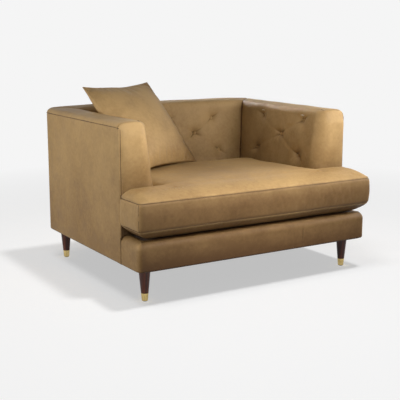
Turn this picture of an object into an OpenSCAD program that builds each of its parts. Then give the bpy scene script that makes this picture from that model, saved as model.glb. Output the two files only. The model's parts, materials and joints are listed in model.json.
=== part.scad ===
// Snuggler chair: one wide seat between tufted arms, on turned legs.
// -Y is the front and +Z is up. Left and right are as seen from the front, so +X is on the right.
// The origin lies on the floor, under the middle.

/* [Overall] */
// Width of the upholstered base
body_w = 1240; // [1160:10:1400]
// Depth of the base from its front border to its outside back
body_d = 1010; // [970:10:1080]
// Height of the legs under the base
leg_h = 150; // [120:5:190]
// Height of the front border above the legs
base_h = 130; // [120:5:150]
// Radius of the front border's soft top edge
border_r = 35; // [28:1:38]
// Height of the arms at their crown
arm_h = 765; // [740:5:800]
// Height of the back at its crown
back_h = 777; // [760:1:815]

/* [Arms and back] */
// Distance of the arms' fronts behind the front border
arm_setback = 170; // [120:5:200]
// Thickness of an arm at the seat
arm_seat_w = 187; // [160:1:190]
// Thickness of an arm where its top rolls over
arm_top_w = 150; // [124:1:150]
// Thickness of the back at the seat
back_seat_d = 195; // [172:1:195]
// Thickness of the back where its top rolls over
back_top_d = 155; // [134:1:155]
// Radius of the soft front edge of the inside arm
arm_front_r = 60; // [50:1:64]
// Radius of the inner top edge
top_inner_r = 35; // [28:1:38]
// Width of the outer top edge's rounding
top_outer_r = 22; // [14:1:28]
// Drop from the arm's crown to its outer seam
seam_drop = 13; // [8:1:18]
// Radius of the outer rear corners
rear_corner_r = 35; // [20:1:45]
// Thickness of the quilted cover with its wadding
quilt_t = 30; // [26:1:34]
// Thickness of the foam behind the quilted cover
foam_t = 15; // [10:1:18]
// Thickness of a plain leather cover with its lining
skin_t = 5; // [3:0.5:6]

/* [Tufting] */
// Depth of the leather at a button
tuft_depth = 17; // [8:1:20]
// Radius of the dimple round a button
dimple_r = 42; // [30:1:55]
// Depth of the pleats between buttons
pleat_depth = 5; // [2:0.5:7]
// Half width of a pleat
pleat_w = 17; // [12:1:24]
// Radius of a covered button
button_r = 8; // [6:0.5:10]
// Thickness of a covered button
button_t = 6; // [4:0.5:8]
// Height of the arms' top row of buttons
arm_top_z = 705; // [680:1:708]
// Height of the arms' middle button
arm_mid_z = 622; // [600:1:630]
// Height of the arms' bottom row of buttons
arm_low_z = 531; // [510:1:545]
// Height of the back's top row of buttons
back_top_z = 683; // [670:1:705]
// Height of the back's middle row of buttons
back_mid_z = 608; // [590:1:620]
// Height of the back's bottom row of buttons
back_low_z = 512; // [500:1:530]
// Distance of the arm's upper buttons behind the middle of the seat's depth
arm_tuft_shift = 0; // [0:1:45]
// Half the spacing of the arm's top buttons
arm_tuft_half = 168; // [140:1:190]
// Distance of the arm's bottom buttons behind the middle of the seat's depth
arm_low_shift = 17; // [0:1:60]
// Half the spacing of the arm's bottom buttons
arm_low_half = 179; // [150:1:190]
// Half the spacing of the back's middle buttons
back_mid_half = 166; // [150:1:185]
// Distance of the back's outer top buttons from its middle
back_top_x = 276; // [270:1:310]
// Distance of the back's outer bottom buttons from its middle
back_low_x = 310; // [290:1:330]

/* [Seat cushion] */
// Height of the seat cushion's bottom seam above the base
belly_h = 50; // [30:1:60]
// Height of the seat cushion's boxing
boxing_h = 118; // [100:1:130]
// Rise of the seat's crown above its top seam
seat_crown = 42; // [20:1:50]
// Reach of the cushion past the front border
front_overhang = 20; // [10:1:30]
// Reach of the cushion's wings past the sides
side_overhang = 7; // [2:1:12]
// Radius of the cushion's corners
cushion_corner_r = 30; // [20:1:40]
// Swell of the boxing between its seams
boxing_swell = 6; // [2:1:9]
// Gap between the cushion and the arms and back
cushion_gap = 3; // [2:0.5:6]
// Thickness of the cushion cover with its wrap
cushion_skin = 6; // [4:1:10]
// Length of the cushion's zip
zip_l = 620; // [400:10:700]

/* [Scatter cushion] */
// Side of the scatter cushion from seam to seam
scatter_w = 500; // [450:5:520]
// Thickness of the scatter cushion at its middle
scatter_t = 130; // [90:2:150]
// Inward pull of its sides between the corners
scatter_pull = 22; // [8:1:34]

/* [Legs] */
// Diameter of a leg at the frame
leg_top_dia = 55; // [48:1:62]
// Diameter of a leg at the floor
leg_foot_dia = 27; // [24:1:32]
// Distance of a leg's axis from the side
leg_inset_x = 70; // [64:1:85]
// Distance of a front leg's axis from the front border
leg_inset_front = 87; // [72:1:100]
// Distance of a rear leg's axis from the outside back
leg_inset_rear = 59; // [56:1:80]
// Height of the brass ferrule
ferrule_h = 33; // [20:1:45]
// Wall of the brass ferrule
ferrule_t = 1.2; // [0.8:0.1:2]
// Thickness of the glide under a leg
glide_t = 3; // [2:0.5:5]
// Radius of the hanger bolt
bolt_r = 4; // [3:0.5:5]

/* [Frame] */
// Thickness of the frame's rails
rail_t = 24; // [20:1:28]
// Thickness of the gables, posts and stiles
gable_t = 20; // [16:1:24]
// Height of the arm and back top rails
top_rail_h = 24; // [18:1:30]
// Thickness of the side and back boards
board_t = 3; // [2:0.5:4]
// Number of seat springs
spring_count = 6; // [4:2:8]
// Thickness of the spring wire
wire_t = 4; // [3:0.5:5]

/* [Hidden] */

// Small sizes of the hidden pieces
clearance = 0.3;
overrun = 2;
dust_t = 2;
deck_cover_t = 2;
deck_hessian_t = 2;
pad_gap = 0.8;
border_corner_r = 40;
centre_rail_h = 70;
block_h = 26;
block_reach = 45;
nut_wall = 2.5;
bolt_grip = 40;
thread_gap = 0.05;
glide_inset = 3;
foot_gap = 0.5;
dowel_r = 4;
dowel_l = 50;
tack_rail_h = 50;
tack_rail_rise = 20;
clip_w = 16;
clip_l = 18;
clip_h = 12;
spring_amp = 26;
spring_pitch = 60;
twine_r = 1;
twine_gap = 0.5;
washer_r = 10;
washer_t = 2;
zip_tape_h = 30;
zip_tape_t = 1.5;
zip_coil_w = 6;
zip_coil_t = 2;
zip_back_gap = 12;
slider_l = 16;
slider_w = 11;
slider_t = 4;
slider_lip = 1;
slider_start = 10;
tab_l = 24;
tab_w = 6;
edge_t = 4;
belly_run = 88;
crown_run = 110;
crown_side_run = 80;
crown_arm_run = 45;
crown_back_run = 150;
core_run = 60;
core_inset = 5;
corner_h = 769;
pocket_depth = 2;
edge_min_r = 2;
scatter_side_gap = 25.8;
scatter_back_gap = 363.2;
scatter_turn = 24.34;
scatter_lean = 52.33;
scatter_rise = -3.7;
wing_drop_share = 0.3;
crown_power = 0.8;
scatter_power = 0.55;
core_share = 0.78;
filling_share = 0.88;
cap_shares = [0.35, 0.7];
crown_shares = [0.8, 0.42, 0.2, 0.07];
belly_shares = [0.1, 0.3, 0.6, 1];
front_shares = [0.29, 0.57, 0.86];
side_shares = [0.25, 0.5, 0.75];

// Places worked out from the sizes
half_w = body_w / 2;
y_rear = (body_d + front_overhang + boxing_swell) / 2;
y_border = y_rear - body_d;
y_arm = y_border + arm_setback;
arm_d = y_rear - y_arm;
base_top = leg_h + base_h;
boxing_z = base_top + belly_h;
seat_h = boxing_z + boxing_h;
roll_z = arm_h - top_inner_r;
seam_z = arm_h - seam_drop;
frame_z = leg_h + dust_t;
rail_top = base_top - border_r;
rail_z = roll_z - top_rail_h;
board_x = half_w - skin_t;
frame_x = board_x - board_t;
board_y = y_rear - skin_t;
frame_y = board_y - board_t;
border_y = y_border + skin_t;
arc_y = y_arm + arm_front_r;
arm_lean = (arm_seat_w - arm_top_w) / (roll_z - seat_h);
back_lean = (back_seat_d - back_top_d) / (roll_z - seat_h);
mitre = back_top_d / arm_top_w;
back_quilt_t = quilt_t * mitre;
lean_angle = atan(arm_lean);
back_angle = atan(back_lean);
gable_y = y_arm + quilt_t;
rear_gable_y = back_face(base_top) - gable_t;
post_x = arm_face(roll_z) + arm_front_r;
back_rail_y = back_face(roll_z) + back_quilt_t + foam_t;
deck_x = arm_face(base_top) + quilt_t + foam_t - clearance;
deck_y = back_face(base_top) + back_quilt_t;
deck_front = y_border + border_r;
deck_pad_z = rail_top + wire_t + deck_hessian_t;
leg_x = half_w - leg_inset_x;
leg_front_y = y_border + leg_inset_front;
leg_rear_y = y_rear - leg_inset_rear;
leg_r = leg_top_dia / 2;
foot_r = leg_foot_dia / 2;
cushion_z = base_top + clearance;
wing_x = half_w + side_overhang;
wing_front = y_border - front_overhang;
wing_rear = y_arm - cushion_gap;
seat_rear = back_face(boxing_z) - zip_back_gap;
seat_mid_y = (wing_front + wing_rear) / 2;
zip_z = boxing_z + boxing_h / 2;
seat_top = seat_h + seat_crown;

function arm_face(z) = half_w - arm_seat_w + (z - seat_h) * arm_lean;
function back_face(z) = y_rear - back_seat_d + (z - seat_h) * back_lean;
function mix(a, b, share) = a + (b - a) * share;
function falloff(distance, width) = exp(-pow(distance / width, 2));
function along(p, a, b) = max(0, min(1, (p - a) * (b - a) / ((b - a) * (b - a))));
function seg_dist(p, a, b) = norm(p - a - (b - a) * along(p, a, b));

// Buttons as height and distance along their face, and the pairs that a pleat joins
seat_depth_mid = (y_arm + back_face(seat_h)) / 2;
arm_mid_y = seat_depth_mid + arm_tuft_shift;
arm_low_mid_y = seat_depth_mid + arm_low_shift;
arm_spots = [[arm_mid_y + arm_tuft_half, arm_top_z], [arm_mid_y - arm_tuft_half, arm_top_z],
    [arm_mid_y, arm_mid_z], [arm_low_mid_y + arm_low_half, arm_low_z],
    [arm_low_mid_y - arm_low_half, arm_low_z]];
arm_pleats = [[0, 2], [1, 2], [2, 3], [2, 4]];
back_spots = [[-back_top_x, back_top_z], [0, back_top_z], [back_top_x, back_top_z],
    [-back_mid_half, back_mid_z], [back_mid_half, back_mid_z],
    [-back_low_x, back_low_z], [0, back_low_z], [back_low_x, back_low_z]];
back_pleats = [[0, 3], [1, 3], [1, 4], [2, 4], [3, 5], [3, 6], [4, 6], [4, 7]];
function dimple(p, spots) = tuft_depth * max([for (q = spots) falloff(norm(p - q), dimple_r)]);
function pleat(p, spots, pairs) =
    pleat_depth * max([for (s = pairs) falloff(seg_dist(p, spots[s[0]], spots[s[1]]), pleat_w)]);
function tuft(p, spots, pairs) = max(dimple(p, spots), pleat(p, spots, pairs));

// Heights of a quilted cover's rows, close together at its buttons
row_step = dimple_r / 2;
function quilt_rows(low, middle, top) = [base_top, (base_top + low) / 2, low - 2 * row_step, low - row_step,
    low, low + row_step, (low + middle) / 2, middle - row_step, middle, middle + row_step,
    (middle + top) / 2, top - row_step, top, roll_z];
arm_rows = quilt_rows(arm_low_z, arm_mid_z, arm_top_z);
back_rows = quilt_rows(back_low_z, back_mid_z, back_top_z);

// Closed solid through rings of equal length; cap is "fan", "strip" or "tips", which closes on two points
module loft(rings, cap = "fan", tips = []) {
    n = len(rings[0]);
    m = len(rings);
    last = (m - 1) * n;
    base = m * n;
    spots = [for (r = rings) for (p = r) p];
    walls = [for (i = [0 : m - 2]) for (j = [0 : n - 1])
        let (a = i * n + j, b = i * n + (j + 1) % n)
        each [[a, b, b + n], [a, b + n, a + n]]];
    fans = [for (j = [0 : n - 3])
        each [[n - 1, j + 1, j], [last + n - 1, last + j, last + j + 1]]];
    strips = [for (j = [0 : n / 2 - 2])
        each [[n - 2 - j, j + 1, j], [n - 1 - j, n - 2 - j, j],
            [last + j, last + j + 1, last + n - 2 - j],
            [last + j, last + n - 2 - j, last + n - 1 - j]]];
    points = [for (j = [0 : n - 1])
        let (k = (j + 1) % n)
        each [[base, k, j], [base + 1, last + j, last + k]]];
    caps = cap == "fan" ? fans : cap == "strip" ? strips : points;
    polyhedron(concat(spots, tips), concat(walls, caps), convexity = 8);
}

// A piece on the viewer's right, or its mirror image on the left
module on_side(left) {
    mirror([left ? 1 : 0, 0, 0]) children();
}

// A prism that runs along X between two places, from an outline in Y and Z
module along_x(x0, x1, outline) {
    translate([x0, 0, 0]) rotate([90, 0, 90]) linear_extrude(x1 - x0) polygon(outline);
}

// A prism that runs along Y between two places, from an outline in X and Z
module along_y(y0, y1, outline) {
    translate([0, y1, 0]) rotate([90, 0, 0]) linear_extrude(y1 - y0) polygon(outline);
}

// A box between two corners
module block(a, b) {
    translate(a) cube(b - a);
}

// Base frame; the front and back rails taper at their ends to clear the covers' round corners
module cross_rail(y_long, y_short, short_x, z0, z1) {
    translate([0, 0, z0]) linear_extrude(z1 - z0)
        polygon([[-frame_x, y_long], [frame_x, y_long], [short_x, y_short], [-short_x, y_short]]);
}

module front_rail() {
    color("burlywood") cross_rail(border_y + rail_t, border_y, half_w - border_corner_r, frame_z, rail_top);
}

module back_rail() {
    color("burlywood") cross_rail(frame_y - rail_t, frame_y, half_w - rear_corner_r, frame_z, rail_top);
}

module dowel_spots(left) {
    on_side(left) for (y = [gable_y + gable_t / 2, rear_gable_y + gable_t / 2])
        translate([frame_x - rail_t / 2, y, rail_top]) children();
}

module side_rail(left) {
    color("burlywood") difference() {
        on_side(left) block([frame_x - rail_t, border_y + rail_t, frame_z],
            [frame_x, frame_y - rail_t, rail_top]);
        dowel_spots(left) cylinder(r = dowel_r + thread_gap, h = dowel_l, center = true, $fn = 48);
    }
}

module centre_rail() {
    color("burlywood") block([-rail_t / 2, border_y + rail_t, frame_z],
        [rail_t / 2, frame_y - rail_t, frame_z + centre_rail_h]);
}

module corner_blocks() {
    inner_x = frame_x - rail_t;
    front_in = border_y + rail_t;
    rear_in = frame_y - rail_t;
    color("burlywood") for (left = [false, true]) on_side(left) difference() {
        union() {
            block([leg_x - block_reach, front_in, frame_z],
                [inner_x, leg_front_y + block_reach, frame_z + block_h]);
            block([leg_x - block_reach, leg_rear_y - block_reach, frame_z],
                [inner_x, rear_in, frame_z + block_h]);
        }
        for (y = [leg_front_y, leg_rear_y]) translate([leg_x, y, frame_z - overrun])
            cylinder(r = bolt_r + nut_wall + thread_gap, h = block_h + 2 * overrun, $fn = 48);
    }
}

module arm_gable(left, y) {
    color("burlywood") difference() {
        on_side(left) along_y(y, y + gable_t, [[arm_face(rail_top) + arm_front_r, rail_top],
            [frame_x, rail_top], [frame_x, rail_z], [arm_face(rail_z) + arm_front_r, rail_z]]);
        dowel_spots(left) cylinder(r = dowel_r + thread_gap, h = dowel_l, center = true, $fn = 48);
    }
}

module frame_dowels() {
    color("wheat") for (left = [false, true])
        dowel_spots(left) cylinder(r = dowel_r, h = dowel_l - 2 * clearance, center = true, $fn = 48);
}

// Outline of a back upright, set back from the foam by a gap
function upright(gap) = [[back_face(rail_top) + back_quilt_t + foam_t + gap, rail_top], [frame_y, rail_top],
    [frame_y, rail_z], [back_face(rail_z) + back_quilt_t + foam_t + gap, rail_z]];

module back_post(left) {
    color("burlywood") on_side(left) along_x(post_x, post_x + gable_t, upright(0));
}

module back_centre_stile() {
    color("burlywood") along_x(-gable_t / 2, gable_t / 2, upright(gable_t));
}

module arm_top_rail(left) {
    color("burlywood") on_side(left) block([post_x, gable_y, rail_z], [frame_x, back_rail_y, roll_z]);
}

module back_top_rail() {
    color("burlywood") {
        block([-frame_x, back_rail_y, rail_z], [frame_x, frame_y - rail_t, roll_z]);
        cross_rail(frame_y - rail_t, frame_y, half_w - rear_corner_r, rail_z, roll_z);
    }
}

// Outline of a tack rail that follows a leaning face, given the face's places at its foot and head
function tack_outline(foot, head) = let (low = base_top + tack_rail_rise)
    [[foot, low], [foot + gable_t, low], [head + gable_t, low + tack_rail_h], [head, low + tack_rail_h]];

module arm_tack_rail(left) {
    low = base_top + tack_rail_rise;
    inset = quilt_t + foam_t;
    color("burlywood") on_side(left) along_y(gable_y + gable_t, rear_gable_y,
        tack_outline(arm_face(low) + inset, arm_face(low + tack_rail_h) + inset));
}

module back_tack_rail() {
    low = base_top + tack_rail_rise;
    inset = back_quilt_t + foam_t;
    color("burlywood") along_x(-post_x, post_x,
        tack_outline(back_face(low) + inset, back_face(low + tack_rail_h) + inset));
}

module side_board(left) {
    y0 = y_border + border_corner_r;
    y1 = y_rear - rear_corner_r;
    color("peru") on_side(left) along_x(frame_x, board_x, [[y0, frame_z], [y1, frame_z],
        [y1, roll_z], [gable_y, roll_z], [gable_y, rail_top], [y0, rail_top]]);
}

module back_board() {
    x = half_w - rear_corner_r;
    color("peru") block([-x, frame_y, frame_z], [x, board_y, roll_z]);
}

// Seat support
module seat_springs() {
    start = border_y + rail_t + clip_l / 2;
    finish = frame_y - rail_t - clip_l / 2;
    waves = floor((finish - start) / spring_pitch) * 2;
    step = (finish - start) / waves;
    spread = 2 * arm_face(base_top) / spring_count;
    color("gray") for (k = [0 : spring_count - 1])
        translate([(k - (spring_count - 1) / 2) * spread, 0, rail_top])
        linear_extrude(wire_t) polygon(concat(
            [for (i = [0 : waves]) [(i % 2 == 0 ? -1 : 1) * spring_amp - wire_t / 2, start + i * step]],
            [for (i = [waves : -1 : 0]) [(i % 2 == 0 ? -1 : 1) * spring_amp + wire_t, start + i * step]]));
}

module spring_clips() {
    spread = 2 * arm_face(base_top) / spring_count;
    front_in = border_y + rail_t;
    rear_in = frame_y - rail_t;
    color("silver") for (k = [0 : spring_count - 1])
        for (y = [front_in, rear_in - clip_l])
            translate([(k - (spring_count - 1) / 2) * spread - spring_amp - clip_w / 2, y, rail_top - clip_h])
                cube([clip_w, clip_l, clip_h]);
}

// Half the outline of the deck, which clears the border's round corner with a chamfer
deck_half = let (x = half_w - border_r, c = border_corner_r - border_r)
    [[x - c, deck_front], [x, deck_front + c], [x, gable_y], [deck_x, gable_y], [deck_x, deck_y]];

module deck_layer(z0, z1) {
    translate([0, 0, z0]) linear_extrude(z1 - z0)
        polygon(concat(deck_half, [for (p = flipped(deck_half)) [-p[0], p[1]]]));
}

module deck_hessian() {
    color("tan") deck_layer(deck_pad_z - deck_hessian_t, deck_pad_z);
}

module deck_pad() {
    color("ivory") deck_layer(deck_pad_z, base_top - deck_cover_t);
}

module deck_cover() {
    color("saddlebrown") deck_layer(base_top - deck_cover_t, base_top);
}

// Path of the front border as [place, inward direction, reach] at an inset
border_steps = 6;
function border_path(inset) = let (
        r = max(border_corner_r - inset, 0),
        cx = half_w - border_corner_r,
        cy = y_border + border_corner_r,
        right = concat([for (k = [0 : border_steps]) let (a = -90 + k * 90 / border_steps)
            [cx + r * cos(a), cy + r * sin(a)]], [[half_w - inset, y_arm]]))
    concat([for (k = [len(right) - 1 : -1 : 0]) [-right[k][0], right[k][1]]], right);

// Closed outline of the border's section as [inset, height] pairs
function border_arc(inset) = [for (a = [0 : 18 : 90])
    [border_r - (border_r - inset) * cos(a), base_top - border_r + (border_r - inset) * sin(a)]];
cover_section = concat([[0, leg_h]], border_arc(0),
    [for (k = [5 : -1 : 0]) border_arc(skin_t)[k]], [[skin_t, leg_h]]);
pad_inset = skin_t + pad_gap;
roll_section = concat([[pad_inset, rail_top]], [for (p = border_arc(pad_inset)) if (p[1] > rail_top) p],
    [[border_r, rail_top]]);

module border_loft(section, cap) {
    paths = [for (p = section) border_path(p[0])];
    loft([for (k = [0 : len(paths[0]) - 1])
        [for (j = [0 : len(section) - 1]) [paths[j][k][0], paths[j][k][1], section[j][1]]]], cap);
}

module edge_roll() {
    color("ivory") border_loft(roll_section, "fan");
}

module front_border_cover() {
    color("peru") border_loft(cover_section, "strip");
}

module dust_cover() {
    rear = corner_arc(rear_corner_r - skin_t);
    color("dimgray") difference() {
        translate([0, 0, leg_h]) linear_extrude(dust_t)
            polygon(concat(border_path(skin_t), rear, [for (p = flipped(rear)) [-p[0], p[1]]]));
        for (x = [-leg_x, leg_x]) for (y = [leg_front_y, leg_rear_y])
            translate([x, y, leg_h - overrun])
                cylinder(r = leg_r + foot_gap, h = dust_t + 2 * overrun, $fn = 64);
    }
}

// Foams behind the quilted covers
module arm_foam(left) {
    a = quilt_t;
    b = quilt_t + foam_t;
    color("ivory") difference() {
        on_side(left) along_y(arc_y, back_face(base_top) + quilt_t, [
            [arm_face(base_top) + a, base_top], [arm_face(base_top) + b, base_top],
            [arm_face(roll_z) + b, roll_z], [arm_face(roll_z) + a, roll_z]]);
        arm_holes(left, twine_r + twine_gap, 0, quilt_t + foam_t + 2 * overrun);
    }
}

module back_foam() {
    a = back_quilt_t;
    b = back_quilt_t + foam_t;
    x = arm_face(base_top) + quilt_t;
    color("ivory") difference() {
        along_x(-x, x, [
            [back_face(base_top) + a, base_top], [back_face(base_top) + b, base_top],
            [back_face(roll_z) + b, roll_z], [back_face(roll_z) + a, roll_z]]);
        back_holes(twine_r + twine_gap, 0, back_quilt_t + foam_t + 2 * overrun);
    }
}

// Round holes or rods at the arm's buttons, between two depths behind the face
module arm_holes(left, r, from, to) {
    on_side(left) for (s = arm_spots)
        translate([arm_face(s[1]), s[0], s[1]]) rotate([0, 90 + lean_angle, 0])
            translate([0, 0, from]) cylinder(r = r, h = to - from, $fn = 24);
}

module back_holes(r, from, to) {
    for (s = back_spots)
        translate([s[0], back_face(s[1]), s[1]]) rotate([-90 - back_angle, 0, 0])
            translate([0, 0, from]) cylinder(r = r, h = to - from, $fn = 24);
}

// Parts of a top's width that its inner and outer roundings take
inner_share = top_inner_r / arm_top_w;
outer_share = top_outer_r / arm_top_w;
inner_angles = [0 : 22.5 : 90];
outer_angles = [90 : -22.5 : 0];

// Section of a top as [distance from the inner edge, height], drawn in by an inset
function top_section(crown_z, inset) = let (
        inner_w = inner_share * arm_top_w,
        outer_w = outer_share * arm_top_w,
        top_z = crown_z - inset)
    concat([for (a = inner_angles) [inner_w - (inner_w - inset) * cos(a), mix(roll_z, top_z, sin(a))]],
        [[arm_top_w / 2, top_z]],
        [for (a = outer_angles) [arm_top_w - outer_w + (outer_w - inset) * cos(a),
            mix(seam_z, top_z, sin(a))]]);

// Plan of the arm's front at a distance from its inner edge, for the leather and for the pad
function front_at(s) = s < arm_front_r ?
    arc_y - sqrt(arm_front_r * arm_front_r - pow(arm_front_r - s, 2)) : y_arm;
function pad_front_at(s) = let (r = arm_front_r - quilt_t)
    s < quilt_t ? arc_y : s < arm_front_r ? arc_y - sqrt(r * r - pow(arm_front_r - s, 2)) : gable_y;

// The square outer rear corner drawn into a round one
function round_corner(p) = let (
        cx = half_w - rear_corner_r,
        cy = y_rear - rear_corner_r,
        dx = abs(p[0]) - cx,
        dy = p[1] - cy,
        turn = norm([dx, dy]),
        k = turn > 0 ? max(dx, dy) / turn : 1)
    dx > 0 && dy > 0 ? [sign(p[0]) * (cx + dx * k), cy + dy * k, p[2]] : p;

arm_stations = [for (k = [0 : 6]) k / 6 * (1 - rear_corner_r / arm_d)];
corner_stations = [for (k = [1 : 4]) 1 - rear_corner_r / arm_d * (1 - k / 4)];
top_stations = concat(arm_stations, corner_stations);
function arm_crown(v) = arm_h + (corner_h - arm_h) * pow(v, 3);
function back_crown(u) = back_h - (back_h - corner_h) * pow(abs(u), 6);

function arm_top_ring(v, inset, pad) = [for (q = top_section(arm_crown(v), inset))
    let (y0 = pad ? pad_front_at(q[0]) : front_at(q[0]), y1 = back_face(roll_z) + q[0] * mitre)
    round_corner([arm_face(roll_z) + q[0], mix(y0, y1, v), q[1]])];
function back_top_ring(u, inset) = [for (q = top_section(back_crown(u), inset))
    round_corner([u * (arm_face(roll_z) + q[0]), back_face(roll_z) + q[0] * mitre, q[1]])];
function flipped(list) = [for (k = [len(list) - 1 : -1 : 0]) list[k]];
function at_height(p, z) = [p[0], p[1], z];

module arm_top_cover(left) {
    color("peru") on_side(left) loft([for (v = flipped(top_stations))
        concat(arm_top_ring(v, 0, false), flipped(arm_top_ring(v, skin_t, false)))], "strip");
}

module arm_top_pad(left) {
    color("ivory") on_side(left) loft([for (v = flipped(top_stations))
        let (r = arm_top_ring(v, pad_inset, true))
        concat(r, [at_height(r[len(r) - 1], roll_z)])], "fan");
}

back_half_stations = concat([for (k = [0 : 4]) k / 4 * (1 - rear_corner_r / half_w)],
    [for (k = [1 : 4]) 1 - rear_corner_r / half_w * (1 - k / 4)]);
back_stations = concat([for (k = [len(back_half_stations) - 1 : -1 : 1]) -back_half_stations[k]],
    back_half_stations);

module back_top_cover() {
    color("peru") loft([for (u = back_stations)
        concat(back_top_ring(u, 0), flipped(back_top_ring(u, skin_t)))], "strip");
}

module back_top_pad() {
    color("ivory") loft([for (u = back_stations)
        let (r = back_top_ring(u, pad_inset))
        concat(r, [at_height(r[len(r) - 1], roll_z)])], "fan");
}

// Quilted cover of an arm: leaning face, round front edge and front panel
face_steps = 32;
tuck_angle = acos(1 - pad_inset / arm_front_r);
arc_angles = concat([tuck_angle / 2], [for (k = [0 : 4]) mix(tuck_angle, 90, k / 4)]);
panel_steps = 5;
function under_top(s) = let (
        inner_w = inner_share * arm_top_w,
        outer_w = outer_share * arm_top_w,
        top_z = arm_h - pad_inset,
        in = (inner_w - s) / (inner_w - pad_inset),
        out = (s - arm_top_w + outer_w) / (outer_w - pad_inset))
    in > 0 ? mix(roll_z, top_z, sqrt(max(0, 1 - in * in))) :
    out > 0 ? mix(seam_z, top_z, sqrt(max(0, 1 - out * out))) : top_z;
function last_row(z, s) = z < roll_z ? z : under_top(s);
function face_point(z, share) = let (y = mix(back_face(z), arc_y, share))
    [arm_face(z) + tuft([y, z], arm_spots, arm_pleats), y, z];
function arc_point(z, a, inset) = let (r = arm_front_r - inset, x = arm_face(z) + arm_front_r - r * cos(a))
    [x, arc_y - r * sin(a), last_row(z, arm_front_r * (1 - cos(a)))];
function panel_point(z, share, inset) = let (x = mix(arm_face(z) + arm_front_r, board_x, share))
    [x, y_arm + inset, last_row(z, x - arm_face(roll_z))];
function backed(front, low, high) = concat(front, [high, low]);
function arm_rings() = concat(
    [for (k = [0 : face_steps]) let (v = k / face_steps)
        backed([for (z = arm_rows) face_point(z, v)],
            [arm_face(base_top) + quilt_t, mix(back_face(base_top) + back_quilt_t, arc_y, v), base_top],
            [arm_face(roll_z) + quilt_t, mix(back_face(roll_z) + back_quilt_t, arc_y, v), roll_z])],
    [for (a = arc_angles) backed([for (z = arm_rows) arc_point(z, a, 0)], arc_point(base_top, a, quilt_t),
            arc_point(roll_z, a, quilt_t))],
    [for (k = [1 : panel_steps]) let (v = k / panel_steps)
        backed([for (z = arm_rows) panel_point(z, v, 0)], panel_point(base_top, v, quilt_t),
            panel_point(roll_z, v, quilt_t))]);

module inside_arm_cover(left) {
    color("peru") difference() {
        on_side(left) loft(arm_rings(), "fan");
        arm_holes(left, twine_r + twine_gap, 0, quilt_t + overrun);
        arm_holes(left, button_r + clearance, 0, tuft_depth + pocket_depth);
    }
}

back_steps = 44;
function back_point(z, u) = let (x = u * arm_face(z))
    [x, back_face(z) + tuft([x, z], back_spots, back_pleats), z];
function back_edge(z, u) = [u * (arm_face(z) + quilt_t), back_face(z) + back_quilt_t, z];

module inside_back_cover() {
    color("peru") difference() {
        loft([for (k = [0 : back_steps]) let (u = 2 * k / back_steps - 1)
            backed([for (z = back_rows) back_point(z, u)], back_edge(base_top, u),
                back_edge(roll_z, u))], "fan");
        back_holes(twine_r + twine_gap, 0, back_quilt_t + overrun);
        back_holes(button_r + clearance, 0, tuft_depth + pocket_depth);
    }
}

// Covered buttons in their pockets, with the twine that pulls them in
module arm_buttons() {
    floor_at = tuft_depth + pocket_depth;
    color("sienna") for (left = [false, true]) arm_holes(left, button_r, floor_at - button_t, floor_at);
}

module back_buttons() {
    floor_at = tuft_depth + pocket_depth;
    color("sienna") back_holes(button_r, floor_at - button_t, floor_at);
}

module button_twines() {
    floor_at = tuft_depth + pocket_depth;
    arm_end = (quilt_t + foam_t) * cos(lean_angle);
    back_end = (back_quilt_t + foam_t) * cos(back_angle);
    color("linen") {
        for (left = [false, true]) {
            arm_holes(left, twine_r, floor_at, arm_end);
            arm_holes(left, washer_r, arm_end, arm_end + washer_t);
        }
        back_holes(twine_r, floor_at, back_end);
        back_holes(washer_r, back_end, back_end + washer_t);
    }
}

// Outside covers
function corner_arc(r) = [for (a = [0 : 11.25 : 90])
    [half_w - rear_corner_r + r * cos(a), y_rear - rear_corner_r + r * sin(a)]];

module outside_arm_cover(left) {
    outer = concat([[half_w, y_arm]], corner_arc(rear_corner_r));
    inner = concat([[board_x, y_arm]], corner_arc(rear_corner_r - skin_t));
    color("peru") on_side(left) translate([0, 0, leg_h]) linear_extrude(seam_z - leg_h)
        polygon(concat(outer, flipped(inner)));
}

module outside_back_cover() {
    x = half_w - rear_corner_r;
    color("peru") block([-x, board_y, leg_h], [x, y_rear, seam_z]);
}

// T-shaped outline of the seat cushion at a height, drawn in by an inset
function corner_points(x, y, r, from) = [for (a = [from : 30 : from + 90]) [x + r * cos(a), y + r * sin(a)]];
function cushion_half(z, inset) = let (
        r = max(cushion_corner_r - inset, edge_min_r),
        d = max(inset, 0),
        xw = wing_x - inset,
        xs = arm_face(min(z, seat_h)) - cushion_gap - d,
        yf = wing_front + inset,
        yb = wing_rear - d,
        yr = seat_rear - d)
    concat([for (share = front_shares) [(xw - r) * share, yf]],
        corner_points(xw - r, yf + r, r, -90),
        [[xw, (yf + yb) / 2]],
        corner_points(xw - r, yb - r, r, 0),
        [[(xw - r + xs) / 2, yb], [xs, yb]],
        [for (share = side_shares) [xs, mix(yb, yr - r, share)]],
        corner_points(xs - r, yr - r, r, 0),
        [for (share = flipped(side_shares)) [(xs - r) * share, yr]]);
function cushion_ring(z, inset) = let (half = cushion_half(z, inset))
    concat([[0, wing_front + inset]], half, [[0, seat_rear - max(inset, 0)]],
        [for (p = flipped(half)) [-p[0], p[1]]]);
function shrunk(ring, share) = [for (p = ring) [p[0] * share, mix(seat_mid_y, p[1], share)]];
function wing_drop(p) = 1 - wing_drop_share * pow(abs(p[0]) / wing_x, 4);
function crown_rise(reach, run) = pow(sin(90 * max(0, min(1, reach / run))), crown_power);
function arm_reach(p) = norm([max(0, arm_face(seat_h) - cushion_gap - abs(p[0])), max(0, wing_rear - p[1])]);
function crown_at(p) = seat_h + seat_crown * wing_drop(p) * crown_rise(p[1] - wing_front, crown_run)
    * crown_rise(wing_x - abs(p[0]), crown_side_run) * crown_rise(arm_reach(p), crown_arm_run)
    * crown_rise(seat_rear - p[1], crown_back_run);
function crown_ring(inset) = [for (p = cushion_ring(seat_h, inset)) [p[0], p[1], crown_at(p)]];
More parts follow.
